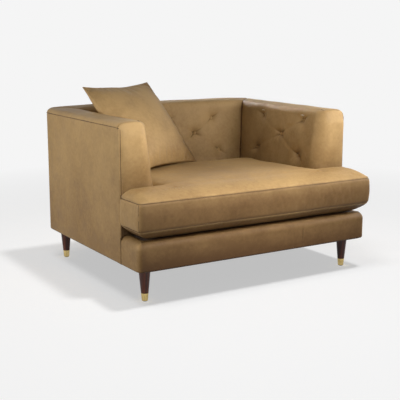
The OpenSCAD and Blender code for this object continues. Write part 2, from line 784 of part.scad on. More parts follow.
function flat_ring(z, inset) = [for (p = cushion_ring(z, inset)) [p[0], p[1], z]];
function belly_ring(inset) = flat_ring(mix(boxing_z, cushion_z, sin(90 * inset / belly_run)), inset);
function cap_ring(share) = [for (p = shrunk(cushion_ring(seat_h, belly_run), share))
    [p[0], p[1], crown_at(p)]];
function core_ring(z, inset) = flat_ring(z, inset);

module cushion_core(gap) {
    side = cushion_skin + core_inset - gap;
    low = cushion_z + cushion_skin - gap;
    high = seat_h + seat_crown * core_share - cushion_skin + gap;
    loft([core_ring(high, belly_run), core_ring(seat_h - cushion_skin, side), core_ring(boxing_z, side),
        core_ring(low, belly_run)], "tips", [[0, seat_mid_y, high], [0, seat_mid_y, low]]);
}

module seat_cushion_cover() {
    color("peru") difference() {
        loft(concat(
            [for (share = cap_shares) cap_ring(share)],
            [for (share = crown_shares) crown_ring(crown_run * share)],
            [flat_ring(seat_h, 0), flat_ring(zip_z, -boxing_swell), flat_ring(boxing_z, 0)],
            [for (share = belly_shares) belly_ring(belly_run * share)]),
            "tips", [[0, seat_mid_y, crown_at([0, seat_mid_y])], [0, seat_mid_y, cushion_z]]);
        cushion_core(0);
    }
}

module seat_cushion_foam() {
    color("ivory") cushion_core(-clearance);
}

// Zip along the cushion's rear boxing, with a slider that runs on its coil
module seat_zip() {
    color("saddlebrown") {
        block([-zip_l / 2, seat_rear, zip_z - zip_tape_h / 2],
            [zip_l / 2, seat_rear + zip_tape_t, zip_z + zip_tape_h / 2]);
        block([-zip_l / 2, seat_rear + zip_tape_t, zip_z - zip_coil_w / 2],
            [zip_l / 2, seat_rear + zip_tape_t + zip_coil_t, zip_z + zip_coil_w / 2]);
    }
}

module seat_zip_slider() {
    x = -zip_l / 2 + slider_start;
    y = seat_rear + zip_tape_t + clearance;
    coil = zip_coil_w / 2 + clearance;
    color("gold") {
        difference() {
            block([x, y, zip_z - slider_w / 2], [x + slider_l, y + slider_t, zip_z + slider_w / 2]);
            block([x - overrun, y - overrun, zip_z - coil],
                [x + slider_l + overrun, y + zip_coil_t, zip_z + coil]);
        }
        block([x + slider_lip, y + slider_t, zip_z - tab_l],
            [x + slider_lip + tab_w, y + slider_t + slider_lip, zip_z]);
    }
}

// Scatter cushion: two crowned panels that meet in a thin edge, leaning in the corner
scatter_steps = 18;
function bow(u) = 1 - u * u;
function scatter_half(u, v) = pow(bow(u) * bow(v), scatter_power) * (scatter_t - edge_t) / 2
    + edge_t / 2;
function scatter_flat(u, v) = [(scatter_w / 2 - scatter_pull * bow(v) * abs(u)) * u,
    (scatter_w / 2 - scatter_pull * bow(u) * abs(v)) * v];
function scatter_ring(u, steps, grow) = let (
        vs = [for (k = [0 : steps]) 2 * k / steps - 1],
        upper = [for (v = vs) let (p = scatter_flat(u, v))
            [p[0] * grow, p[1] * grow, scatter_half(u, v) * grow]],
        lower = [for (p = flipped(upper)) [p[0], p[1], -p[2]]])
    concat(upper, lower);

module scatter_body(steps, grow) {
    loft([for (k = [0 : steps]) scatter_ring(2 * k / steps - 1, steps, grow)], "strip");
}

module scatter_place() {
    x = scatter_side_gap - arm_face(seat_h) + scatter_w / 2 * cos(scatter_turn);
    y = back_face(seat_h) - scatter_back_gap + scatter_w / 2 * sin(scatter_turn);
    translate([x, y, seat_top + scatter_rise]) rotate([0, 0, scatter_turn])
        rotate([scatter_lean, 0, 0]) translate([0, scatter_w / 2, 0]) children();
}

module scatter_cushion_cover() {
    color("peru") scatter_place() difference() {
        scatter_body(scatter_steps, 1);
        scatter_body(scatter_steps / 3, filling_share);
    }
}

module scatter_cushion_filling() {
    color("ivory") scatter_place() scatter_body(scatter_steps / 3, filling_share - edge_t / scatter_w);
}

// Legs
module at_legs() {
    for (x = [-leg_x, leg_x]) for (y = [leg_front_y, leg_rear_y]) translate([x, y, 0]) children();
}

function leg_radius(z) = mix(foot_r, leg_r, (z - glide_t) / (frame_z - glide_t));

module legs() {
    joint_z = glide_t + ferrule_h;
    low_z = glide_t + ferrule_t;
    color("maroon") at_legs() difference() {
        union() {
            translate([0, 0, low_z]) cylinder(r1 = leg_radius(low_z) - ferrule_t - thread_gap,
                r2 = leg_radius(joint_z) - ferrule_t - thread_gap, h = joint_z - low_z, $fn = 64);
            translate([0, 0, joint_z])
                cylinder(r1 = leg_radius(joint_z), r2 = leg_r, h = frame_z - joint_z, $fn = 64);
        }
        translate([0, 0, frame_z - bolt_grip])
            cylinder(r = bolt_r + thread_gap, h = bolt_grip + overrun, $fn = 48);
    }
}

module leg_ferrules() {
    low_z = glide_t + ferrule_t;
    joint_z = glide_t + ferrule_h;
    color("gold") at_legs() difference() {
        translate([0, 0, glide_t]) cylinder(r1 = foot_r, r2 = leg_radius(joint_z), h = ferrule_h, $fn = 64);
        translate([0, 0, low_z]) cylinder(r1 = leg_radius(low_z) - ferrule_t,
            r2 = leg_radius(joint_z) - ferrule_t, h = joint_z - low_z, $fn = 64);
    }
}

module leg_glides() {
    color("dimgray") at_legs() cylinder(r = foot_r - glide_inset, h = glide_t, $fn = 48);
}

module hanger_bolts() {
    color("silver") at_legs() translate([0, 0, frame_z - bolt_grip])
        cylinder(r = bolt_r, h = bolt_grip + block_h, $fn = 48);
}

module insert_nuts() {
    color("silver") at_legs() translate([0, 0, frame_z]) difference() {
        cylinder(r = bolt_r + nut_wall, h = block_h, $fn = 48);
        translate([0, 0, -overrun]) cylinder(r = bolt_r + thread_gap, h = block_h + 2 * overrun, $fn = 48);
    }
}

front_rail();
back_rail();
side_rail(true);  // side_rail_left
side_rail(false);  // side_rail_right
centre_rail();
corner_blocks();
arm_gable(true, gable_y);  // arm_gable_front_left
arm_gable(false, gable_y);  // arm_gable_front_right
arm_gable(true, rear_gable_y);  // arm_gable_rear_left
arm_gable(false, rear_gable_y);  // arm_gable_rear_right
back_post(true);  // back_post_left
back_post(false);  // back_post_right
back_centre_stile();
arm_top_rail(true);  // arm_top_rail_left
arm_top_rail(false);  // arm_top_rail_right
back_top_rail();
arm_tack_rail(true);  // arm_tack_rail_left
arm_tack_rail(false);  // arm_tack_rail_right
back_tack_rail();
frame_dowels();
side_board(true);  // side_board_left
side_board(false);  // side_board_right
back_board();
seat_springs();
spring_clips();
deck_hessian();
deck_pad();
deck_cover();
edge_roll();
front_border_cover();
arm_foam(true);  // arm_foam_left
arm_foam(false);  // arm_foam_right
back_foam();
inside_arm_cover(true);  // inside_arm_cover_left
inside_arm_cover(false);  // inside_arm_cover_right
inside_back_cover();
arm_top_pad(true);  // arm_top_pad_left
arm_top_pad(false);  // arm_top_pad_right
back_top_pad();
arm_top_cover(true);  // arm_top_cover_left
arm_top_cover(false);  // arm_top_cover_right
back_top_cover();
outside_arm_cover(true);  // outside_arm_cover_left
outside_arm_cover(false);  // outside_arm_cover_right
outside_back_cover();
arm_buttons();
back_buttons();
button_twines();
dust_cover();
seat_cushion_cover();
seat_cushion_foam();
seat_zip();
seat_zip_slider();
scatter_cushion_cover();
scatter_cushion_filling();
legs();
leg_ferrules();
leg_glides();
hanger_bolts();
insert_nuts();
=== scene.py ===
"""Dresses the snuggler chair: leather covers, cushions, buttons, seams, legs, light and camera.

Every length is in metres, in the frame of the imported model: -Y is the front and +Z is up.
"Left" is the side at -X, on the left of somebody who looks at the chair from the front.
"""

from __future__ import annotations

import json
import logging
import math
from dataclasses import dataclass, field
from enum import Enum
from typing import Callable, Sequence

import bmesh
import bpy
import numpy as np
from bpy.types import Material, Mesh, Node, NodeSocket, Object, World
from mathutils import Euler, Matrix, Vector, kdtree, noise

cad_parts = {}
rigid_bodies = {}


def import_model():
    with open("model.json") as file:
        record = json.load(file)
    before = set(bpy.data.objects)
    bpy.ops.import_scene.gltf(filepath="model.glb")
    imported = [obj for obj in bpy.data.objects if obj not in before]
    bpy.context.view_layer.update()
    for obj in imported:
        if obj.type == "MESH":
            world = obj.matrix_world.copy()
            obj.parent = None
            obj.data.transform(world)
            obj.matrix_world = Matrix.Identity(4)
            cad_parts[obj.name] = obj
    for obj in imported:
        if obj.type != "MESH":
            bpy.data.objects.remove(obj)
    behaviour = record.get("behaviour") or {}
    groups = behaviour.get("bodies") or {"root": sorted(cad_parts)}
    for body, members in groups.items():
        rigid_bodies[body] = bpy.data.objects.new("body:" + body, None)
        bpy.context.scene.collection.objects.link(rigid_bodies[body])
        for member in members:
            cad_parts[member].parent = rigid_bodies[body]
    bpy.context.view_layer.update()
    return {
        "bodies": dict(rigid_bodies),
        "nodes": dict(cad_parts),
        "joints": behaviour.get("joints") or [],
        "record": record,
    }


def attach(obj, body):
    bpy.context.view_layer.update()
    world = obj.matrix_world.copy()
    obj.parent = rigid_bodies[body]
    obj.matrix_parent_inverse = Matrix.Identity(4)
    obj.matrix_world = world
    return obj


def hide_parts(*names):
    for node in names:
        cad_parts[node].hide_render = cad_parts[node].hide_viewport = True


LOG = logging.getLogger("snuggler")

# Frames of a cloth simulation, and the greatest wave of hand-pulled leather in metres.
PUFF_FRAMES = 20
SWELL = 0.0016

Colour = tuple[float, float, float]
Look = tuple[NodeSocket, NodeSocket, NodeSocket]

# Leather: the tone that painted shade adds, the heights across which painted shade gives way to painted light,
# and the depths of pores and wrinkles in metres. Pores, a weave's waves and foam's cells are to the metre.
SHADE_TINT: Colour = (0.30, 0.24, 0.20)
HEIGHT_SHADE_Z = (0.20, 0.76)
PORES = 620.0
THREADS = 150.0
CELLS = 420.0
PORE_DEPTH = 0.0005
WRINKLE_DEPTH = 0.004


class Side(Enum):
    """Side of the chair, with the sign of its X."""

    LEFT = -1
    RIGHT = 1

    @property
    def word(self) -> str:
        """The side's word in piece names."""
        return self.name.lower()

    @property
    def corner_r(self) -> float:
        """Radius of the arm's outer front corner, softer on the right arm."""
        return 0.020 if self is Side.RIGHT else 0.003

    @property
    def corner_sag(self) -> float:
        """Fall of the arm's outer front corner, more on the right arm."""
        return 0.018 if self is Side.RIGHT else 0.002

    @property
    def flip(self) -> np.ndarray:
        """Factors that put a place of the right arm on this side."""
        return np.array([self.value, 1.0, 1.0])


class Pattern(Enum):
    """Kind of surface that a finish draws."""

    LEATHER = "leather"
    GRAIN = "grain"
    WEAVE = "weave"
    BRUSHED = "brushed"
    FOAM = "foam"


# Finishes


class NodeBench:
    """Makes and links the nodes of one material."""

    def __init__(self, owner: Material | World, output: str = "ShaderNodeOutputMaterial") -> None:
        """Empty a material's or a world's nodes, and add its output.

        Args:
            owner: The material or world.
            output: The output's type.
        """
        self.owner = owner
        owner.use_nodes = True
        self.tree = owner.node_tree
        self.tree.nodes.clear()
        self.output = self.add(output)

    def fill(self, socket: NodeSocket, value: object) -> None:
        """Link a socket to another one, or set its value.

        Args:
            socket: The input socket.
            value: A socket to link it to, or the value.
        """
        if isinstance(value, NodeSocket):
            self.tree.links.new(value, socket)
        else:
            socket.default_value = value

    def show(self, shader: Node) -> None:
        """Link a shader to the output."""
        self.fill(self.output.inputs[0], shader.outputs[0])

    def add(self, kind: str, sockets: dict[int, object] | None = None, **values: object) -> Node:
        """Add a node and set its sockets and properties.

        Args:
            kind: The node's type.
            sockets: Values by the socket's number, where sockets share a name.
            **values: Values by socket name, with spaces as underscores, or by property name.

        Returns:
            The new node.
        """
        node = self.tree.nodes.new(kind)
        for key, value in values.items():
            socket = node.inputs.get(key.replace("_", " "))
            if socket is None:
                setattr(node, key, value)
            else:
                self.fill(socket, value)
        for number, value in (sockets or {}).items():
            self.fill(node.inputs[number], value)
        return node

    def place(self, stretch: tuple[float, float, float] = (1.0, 1.0, 1.0)) -> NodeSocket:
        """Give the object's own coordinates, stretched along each axis.

        Args:
            stretch: Scale along X, Y and Z.

        Returns:
            The vector socket.
        """
        where = self.add("ShaderNodeTexCoord").outputs["Object"]
        return self.add("ShaderNodeMapping", Vector=where, Scale=stretch).outputs["Vector"]

    def cloud(self, scale: float, detail: float = 4.0, rough: float = 0.55, at: NodeSocket | None = None) -> NodeSocket:
        """Give a soft noise value.

        Args:
            scale: Patches to the metre.
            detail: Octaves.
            rough: Weight of the finer octaves.
            at: Coordinates, or the object's own.

        Returns:
            The value socket.
        """
        where = self.place() if at is None else at
        node = self.add("ShaderNodeTexNoise", Vector=where, Scale=scale, Detail=detail, Roughness=rough)
        return node.outputs["Fac"]

    def blend(self, share: NodeSocket, stops: Sequence[tuple[float, Colour]]) -> NodeSocket:
        """Turn a value into a colour.

        Args:
            share: The value socket.
            stops: Positions and their colours.

        Returns:
            The colour socket.
        """
        ramp = self.add("ShaderNodeValToRGB", Fac=share)
        elements = ramp.color_ramp.elements
        while len(elements) < len(stops):
            elements.new(0.5)
        for element, (position, colour) in zip(elements, stops):
            element.position = position
            element.color = (*colour, 1.0)
        return ramp.outputs["Color"]

    def mix(self, share: float | NodeSocket, a: NodeSocket, b: NodeSocket) -> NodeSocket:
        """Blend two values, by the share of the second."""
        return self.add("ShaderNodeMix", {0: share, 2: a, 3: b}, data_type="FLOAT").outputs[0]

    def math(self, operation: str, a: NodeSocket, b: float | NodeSocket) -> NodeSocket:
        """Work out one value from two."""
        return self.add("ShaderNodeMath", {0: a, 1: b}, operation=operation).outputs[0]

    def span(self, value: NodeSocket, low: float, high: float) -> NodeSocket:
        """Stretch a noise value between two limits.

        Args:
            value: The noise.
            low: Result at its dark end.
            high: Result at its light end.

        Returns:
            The value socket.
        """
        return self.add(
            "ShaderNodeMapRange", Value=value, From_Min=0.3, From_Max=0.7, To_Min=low, To_Max=high
        ).outputs["Result"]

    def relief(self, height: NodeSocket, depth: float, strength: float, under: NodeSocket | None = None) -> NodeSocket:
        """Turn a height into a bumped normal.

        Args:
            height: The height, from 0 to 1.
            depth: Depth in metres.
            strength: Share of it that shows.
            under: A normal to add to.

        Returns:
            The normal socket.
        """
        bump = self.add("ShaderNodeBump", Height=height, Distance=depth, Strength=strength)
        if under is not None:
            self.fill(bump.inputs["Normal"], under)
        return bump.outputs["Normal"]


@dataclass(frozen=True)
class Finish:
    """One finish: a pattern in two tones, with its gloss and relief."""

    name: str
    pattern: Pattern
    dark: Colour
    light: Colour
    rough: tuple[float, float] = (0.4, 0.6)
    metallic: float = 0.0
    scale: float = 1.0
    relief: float = 0.3
    gloss: float = 0.5
    # Share by which leather is painted lighter high up and darker low down, as painted light and shade.
    height_shade: float = 0.0
    # Strength of the painted shade that the mesh's shade attribute gives.
    shade_strength: float = 0.85

    def _mean(self) -> Colour:
        """The tone halfway between the dark and the light one."""
        return tuple((a + b) / 2 for a, b in zip(self.dark, self.light))

    def _leather(self, bench: NodeBench) -> Look:
        """Draw leather: cloudy dye, fine grain and soft wrinkles, painted lighter high and darker low, and with painted
        shade where the mesh's shade says so.

        Args:
            bench: The material's bench.

        Returns:
            Colour, roughness and normal sockets.
        """
        broad = bench.cloud(2.6 * self.scale, 3.0, 0.5)
        mottle = bench.cloud(13.0 * self.scale, 6.0, 0.62)
        fleck = bench.cloud(70.0 * self.scale, 5.0, 0.6)
        # Painted light and shade by height: lighter high up, darker low down.
        height = bench.add("ShaderNodeSeparateXYZ", Vector=bench.place()).outputs["Z"]
        low, high = HEIGHT_SHADE_Z
        height_light = bench.add(
            "ShaderNodeMapRange", Value=height, From_Min=low, From_Max=high, To_Min=-self.height_shade, To_Max=self.height_shade
        ).outputs["Result"]
        even = bench.mix(0.22, bench.mix(0.45, broad, mottle), fleck)
        stops = [(0.34, self.dark), (0.5, self._mean()), (0.66, self.light)]
        dye_and_height_shade = bench.blend(bench.math("ADD", even, height_light), stops)
        # Painted shade: the mesh's shade attribute darkens the dye in creases, folds and seams, low inside the chair
        # and on the lower fronts.
        painted_shade = bench.add("ShaderNodeAttribute", attribute_name="shade").outputs["Fac"]
        worn = bench.math("MULTIPLY", painted_shade, self.shade_strength)
        colour = bench.add(
            "ShaderNodeMix", {0: worn, 6: dye_and_height_shade, 7: (*SHADE_TINT, 1.0)}, data_type="RGBA", blend_type="MULTIPLY"
        ).outputs[2]
        pores = bench.add(
            "ShaderNodeTexVoronoi", Vector=bench.place(), Scale=PORES, feature="DISTANCE_TO_EDGE"
        ).outputs["Distance"]
        creases = bench.relief(bench.cloud(34.0, 5.0, 0.62), WRINKLE_DEPTH, 0.16 * self.relief)
        normal = bench.relief(pores, PORE_DEPTH, 0.22 * self.relief, creases)
        return colour, bench.span(mottle, *self.rough), normal

    def _grain(self, bench: NodeBench) -> Look:
        """Draw timber whose grain runs along Z or, on a long rail, shows as stretched streaks.

        Args:
            bench: The material's bench.

        Returns:
            Colour, roughness and normal sockets.
        """
        along = bench.place((14.0, 14.0, 1.2))
        streak = bench.cloud(6.0 * self.scale, 6.0, 0.65, along)
        ring = bench.add(
            "ShaderNodeTexWave", Vector=along, Scale=1.1 * self.scale, Distortion=6.0, Detail=3.0
        ).outputs["Fac"]
        tone = bench.mix(0.35, streak, ring)
        colour = bench.blend(tone, [(0.25, self.dark), (0.75, self.light)])
        return colour, bench.span(streak, *self.rough), bench.relief(streak, 0.0006, self.relief)

    def _weave(self, bench: NodeBench) -> Look:
        """Draw a plain weave of warp and weft.

        Args:
            bench: The material's bench.

        Returns:
            Colour, roughness and normal sockets.
        """
        warp, weft = (
            bench.add(
                "ShaderNodeTexWave", Vector=bench.place(), Scale=THREADS * self.scale, bands_direction=way
            ).outputs["Fac"]
            for way in "XY"
        )
        cross = bench.mix(0.5, warp, weft)
        fluff = bench.cloud(40.0, 5.0)
        colour = bench.blend(bench.mix(0.5, cross, fluff), [(0.3, self.dark), (0.7, self.light)])
        return colour, bench.span(fluff, *self.rough), bench.relief(cross, 0.0006, self.relief)

    def _brushed(self, bench: NodeBench) -> Look:
        """Draw metal that was turned or brushed round its axis.

        Args:
            bench: The material's bench.

        Returns:
            Colour, roughness and normal sockets.
        """
        lines = bench.cloud(40.0, 3.0, 0.5, bench.place((1.0, 1.0, 60.0)))
        smear = bench.cloud(30.0, 4.0)
        colour = bench.blend(smear, [(0.3, self.dark), (0.7, self.light)])
        return colour, bench.span(lines, *self.rough), bench.relief(lines, 0.0002, self.relief)

    def _foam(self, bench: NodeBench) -> Look:
        """Draw open cells under a thin wadding.

        Args:
            bench: The material's bench.

        Returns:
            Colour, roughness and normal sockets.
        """
        cells = bench.add("ShaderNodeTexVoronoi", Vector=bench.place(), Scale=CELLS * self.scale).outputs["Distance"]
        tuft = bench.cloud(22.0, 5.0)
        colour = bench.blend(bench.mix(0.4, tuft, cells), [(0.2, self.dark), (0.7, self.light)])
        return colour, bench.span(tuft, *self.rough), bench.relief(cells, 0.0008, self.relief)

    def make(self) -> Material:
        """Build the material.

        Returns:
            The material.
        """
        bench = NodeBench(bpy.data.materials.new(self.name))
        draw = {
            Pattern.LEATHER: self._leather,
            Pattern.GRAIN: self._grain,
            Pattern.WEAVE: self._weave,
            Pattern.BRUSHED: self._brushed,
            Pattern.FOAM: self._foam,
        }[self.pattern]
        colour, rough, normal = draw(bench)
        bench.show(bench.add(
            "ShaderNodeBsdfPrincipled", Base_Color=colour, Roughness=rough, Normal=normal, Metallic=self.metallic,
            Specular_IOR_Level=self.gloss,
        ))
        bench.owner.diffuse_color = (*self._mean(), 1.0)
        return bench.owner


FINISHES = {
    "leather": Finish(
        "tan_leather", Pattern.LEATHER, (0.243, 0.141, 0.053), (0.445, 0.287, 0.123), (0.44, 0.60),
        gloss=0.18, height_shade=0.13,
    ),
    "leg_timber": Finish(
        "mahogany", Pattern.GRAIN, (0.028, 0.009, 0.006), (0.110, 0.028, 0.013), (0.3, 0.42), relief=0.2, gloss=0.3
    ),
    "brass": Finish(
        "brushed_brass", Pattern.BRUSHED, (0.52, 0.38, 0.14), (0.74, 0.57, 0.26), (0.26, 0.42), 1.0, relief=0.2
    ),
    "glide_nylon": Finish(
        "black_nylon", Pattern.FOAM, (0.02, 0.02, 0.02), (0.05, 0.05, 0.05), (0.5, 0.6), relief=0.1
    ),
    "frame_timber": Finish("planed_beech", Pattern.GRAIN, (0.46, 0.30, 0.16), (0.70, 0.52, 0.32), (0.6, 0.75)),
    "hardboard": Finish("hardboard", Pattern.GRAIN, (0.22, 0.13, 0.07), (0.34, 0.22, 0.12), (0.6, 0.7), scale=0.4),
    "steel": Finish(
        "zinc_steel", Pattern.BRUSHED, (0.38, 0.38, 0.39), (0.58, 0.58, 0.58), (0.3, 0.45), 1.0, relief=0.2
    ),
    "foam": Finish("wadded_foam", Pattern.FOAM, (0.66, 0.60, 0.44), (0.86, 0.81, 0.66), (0.8, 0.95)),
    "hessian": Finish("hessian", Pattern.WEAVE, (0.30, 0.20, 0.10), (0.56, 0.42, 0.24), (0.8, 0.95), scale=0.6),
    "deck_cloth": Finish("brown_deck_cloth", Pattern.WEAVE, (0.045, 0.025, 0.014), (0.10, 0.06, 0.035), (0.75, 0.9)),
    "black_cloth": Finish("black_lining", Pattern.WEAVE, (0.010, 0.010, 0.010), (0.035, 0.035, 0.035), (0.8, 0.9)),
    "twine": Finish("waxed_twine", Pattern.WEAVE, (0.50, 0.42, 0.28), (0.72, 0.64, 0.48), (0.6, 0.75), scale=4.0),
    "zip_tape": Finish(
        "brown_zip_tape", Pattern.WEAVE, (0.06, 0.035, 0.02), (0.14, 0.09, 0.05), (0.6, 0.75), scale=3.0
    ),
}
# Dark leather for the lines laid along seams: painted shade of the seams' grooves.
SEAM_SHADOW_HIDE = Finish(
    "leather_painted_as_seam_shadow", Pattern.LEATHER, (0.085, 0.048, 0.020), (0.140, 0.082, 0.036), (0.5, 0.6), gloss=0.2
)
THREAD = Finish("tan_thread", Pattern.WEAVE, (0.30, 0.18, 0.08), (0.46, 0.30, 0.15), (0.5, 0.65), scale=6.0)


# Shared form


def fade(value: np.ndarray, start: float, end: float) -> np.ndarray:
    """Climb smoothly from 0 to 1.

    Args:
        value: Where to look.
        start: Place of 0.
        end: Place of 1.

    Returns:
        The share at each value.
    """
    t = np.clip((value - start) / (end - start), 0.0, 1.0)
    return t * t * (3.0 - 2.0 * t)


def mix(a: np.ndarray | float, b: np.ndarray | float, share: np.ndarray | float) -> np.ndarray | float:
    """Give the value between two others at a share."""
    return a + (b - a) * share


def quarter(steps: int, first: bool = True) -> np.ndarray:
    """Divide a quarter turn evenly.

    Args:
        steps: Number of steps.
        first: Whether the angle 0 is given too.

    Returns:
        The angles.
    """
    return np.linspace(0.0, np.pi / 2, steps + 1)[0 if first else 1 :]


def places(*parts: np.ndarray | float) -> np.ndarray:
    """Put coordinates together, each an array or one value."""
    return np.stack(np.broadcast_arrays(*parts), axis=-1)


def lifted(plan: np.ndarray, z: np.ndarray | float, shade: np.ndarray | float = 0.0) -> np.ndarray:
    """Lift a line of the plan to a height, with the painted shade there."""
    return places(plan[:, 0], plan[:, 1], z, shade)


@dataclass(frozen=True)
class ChairForm:
    """Main faces of the chair's upholstery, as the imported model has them."""

    half_w: float = 0.620
    rear_y: float = 0.518
    border_y: float = -0.492
    arm_y: float = -0.322
    base_bottom: float = 0.150
    base_top: float = 0.280
    seat_z: float = 0.448
    roll_z: float = 0.730
    seam_z: float = 0.744
    arm_crown: float = 0.765
    back_crown: float = 0.777
    corner_crown: float = 0.769
    arm_seat_t: float = 0.187
    arm_top_t: float = 0.150
    back_seat_t: float = 0.195
    back_top_t: float = 0.155
    front_r: float = 0.060
    inner_r: float = 0.035
    outer_r: float = 0.028
    corner_r: float = 0.035
    cushion_rise: float = 0.003
    flap_l: float = 0.010
    edge_tuck: float = 0.004
    foot_r: float = 0.009
    foot_tuck: float = 0.018
    hem_rise: float = 0.0012

    @property
    def crown_low(self) -> float:
        """Height above which a worn corner comes down in full."""
        return self.seam_z - 0.006

    @property
    def mitre(self) -> float:
        """Depth of the back's top for each length across an arm's top."""
        return self.back_top_t / self.arm_top_t

    @property
    def arm_lean(self) -> float:
        """How far an arm's face leans out for each length up."""
        return (self.arm_seat_t - self.arm_top_t) / (self.roll_z - self.seat_z)

    @property
    def back_lean(self) -> float:
        """How far the back's face leans back for each length up."""
        return (self.back_seat_t - self.back_top_t) / (self.roll_z - self.seat_z)

    def arm_face(self, z: np.ndarray | float) -> np.ndarray | float:
        """X of the right arm's inner face at a height, upright above the roll."""
        return self.half_w - self.arm_seat_t + (np.minimum(z, self.roll_z) - self.seat_z) * self.arm_lean

    def back_face(self, z: np.ndarray | float) -> np.ndarray | float:
        """Y of the back's inner face at a height, upright above the roll."""
        return self.rear_y - self.back_seat_t + (np.minimum(z, self.roll_z) - self.seat_z) * self.back_lean

    def flap(self, across: np.ndarray) -> np.ndarray:
        """How far a top runs on past the mitre at a distance across it, less near the outer seam."""
        return self.flap_l * (1.0 - fade(across, self.arm_top_t - 0.045, self.arm_top_t - 0.012))

    def foot(self) -> list[tuple[float, float]]:
        """Give a panel's foot, from the tuck under the base round to the wall.

        Returns:
            Pairs of inset and height.
        """
        r, z = self.foot_r, self.base_bottom
        return [(r + self.foot_tuck, z + self.hem_rise)] + [
            (r * (1 - math.sin(a)), z + r * (1 - math.cos(a))) for a in quarter(7)
        ]

    def top_drop(self, across: np.ndarray) -> np.ndarray:
        """Share of the way from crown to outer seam, at a distance across a top."""
        edge = np.clip((across - self.arm_top_t + self.outer_r) / self.outer_r, 0.0, 1.0)
        return 1.0 - np.sqrt(1.0 - edge * edge)

    def top_puff(self, across: np.ndarray) -> np.ndarray:
        """Measure the rise of a top's soft middle.

        Args:
            across: Distance across the top, from its inner side.

        Returns:
            The rise at each place.
        """
        flat = self.arm_top_t - self.outer_r - self.inner_r
        share = np.clip((across - self.inner_r) / flat, 0.0, 1.0)
        return self.cushion_rise * np.sin(np.pi * share) ** 2

    def arm_top(self, across: np.ndarray, y: np.ndarray) -> np.ndarray:
        """Measure the height of an arm's top.

        Args:
            across: Distance across the top, from its inner side.
            y: Depth.

        Returns:
            The height at each place.
        """
        along = np.clip((y - self.arm_y) / (self.rear_y - self.arm_y), 0.0, 1.0)
        crown = self.arm_crown + (self.corner_crown - self.arm_crown) * along**3
        return mix(crown, self.seam_z, self.top_drop(across)) + self.top_puff(across)

    def back_top(self, across: np.ndarray, share: np.ndarray) -> np.ndarray:
        """Height of the back's top at a distance across it and a share of its half width."""
        crown = self.back_crown - (self.back_crown - self.corner_crown) * np.abs(share) ** 6
        return mix(crown, self.seam_z, self.top_drop(across)) + self.top_puff(across)

    def _rounded(self, points: np.ndarray, radius: float, middle_y: float, way: float) -> np.ndarray:
        """Draw a square outer corner into a round one.

        Args:
            points: Places on the leather, changed in a copy.
            radius: The corner's radius.
            middle_y: Y of the middle of the corner's round.
            way: 1 for a rear corner and -1 for a front one.

        Returns:
            The moved places.
        """
        out = points.copy()
        dx = np.abs(out[..., 0]) - (self.half_w - radius)
        dy = way * (out[..., 1] - middle_y)
        inside = (dx > 0) & (dy > 0)
        k = np.where(inside, np.maximum(dx, dy) / np.maximum(np.hypot(dx, dy), 1e-9), 1.0)
        out[..., 0] = np.where(inside, np.sign(out[..., 0]) * (self.half_w - radius + dx * k), out[..., 0])
        out[..., 1] = np.where(inside, middle_y + way * dy * k, out[..., 1])
        return out

    def sag_front(self, points: np.ndarray, sag: float) -> np.ndarray:
        """Lower the outer front corner of an arm's top, as wear has rounded it.

        Args:
            points: Places on the arm, changed in a copy.
            sag: How far the corner itself comes down.

        Returns:
            The moved places.
        """
        out = points.copy()
        aside = np.maximum(self.half_w - np.abs(out[..., 0]), 0.0) / 0.045
        ahead = np.maximum(out[..., 1] - self.arm_y, 0.0) / 0.021
        high = fade(out[..., 2], self.roll_z - 0.10, self.crown_low)
        out[..., 2] -= sag * high * np.clip(1.0 - aside, 0.0, 1.0) ** 1.6 * np.exp(-(ahead**2))
        return out

    def round_corner(self, points: np.ndarray) -> np.ndarray:
        """Round the outer rear corner of the tops."""
        return self._rounded(points, self.corner_r, self.rear_y - self.corner_r, 1.0)

    def worn(self, points: np.ndarray, side: Side) -> np.ndarray:
        """Sag and round an arm's outer front corner as that side's is."""
        sagged = self.sag_front(points, side.corner_sag)
        return self._rounded(sagged, side.corner_r, self.arm_y + side.corner_r, -1.0)


FORM = ChairForm()


@dataclass(frozen=True)
class InnerCorner:
    """The fold where an arm and the back meet, and the shade painted in it and low inside the chair."""

    face_depth: float = 0.0040
    top_depth: float = 0.0032
    width: float = 0.005
    broad_depth: float = 0.0012
    broad_w: float = 0.030
    roll_angle: float = 0.30
    shade_w: float = 0.0035
    well: float = 0.20
    well_low: float = 0.26
    well_z: tuple[float, float] = (0.47, 0.66)
    well_angle: float = 1.2

    def depth(self, away: np.ndarray, angle: np.ndarray) -> np.ndarray:
        """Measure how deep the leather dives into the fold.

        Args:
            away: Distance from the line where arm and back meet.
            angle: Angle round the roll, 0 on the face and a quarter turn on the top.

        Returns:
            The depth at each place.
        """
        near = np.maximum(away, 0.0)
        rolled = np.clip(angle / self.roll_angle, 0.0, 1.0)
        sharp = mix(self.face_depth, self.top_depth, rolled) * np.exp(-near / self.width)
        return sharp + mix(self.broad_depth, 0.0, rolled) * np.exp(-((near / self.broad_w) ** 2))

    def shade(self, away: np.ndarray) -> np.ndarray:
        """Give the painted shade of the fold at a distance from its line."""
        return np.exp(-np.maximum(away, 0.0) / self.shade_w)

    def well_shade(self, z: np.ndarray, angle: np.ndarray) -> np.ndarray:
        """Give the painted shade inside the chair, darker low down and less on the tops.

        Args:
            z: Height.
            angle: Angle round the roll, 0 on the face and a quarter turn on the top.

        Returns:
            The share of painted shade at each place.
        """
        down = self.well + self.well_low * (1.0 - fade(z, *self.well_z))
        return down * (1.0 - 0.8 * fade(angle, 0.0, self.well_angle))


CORNER = InnerCorner()


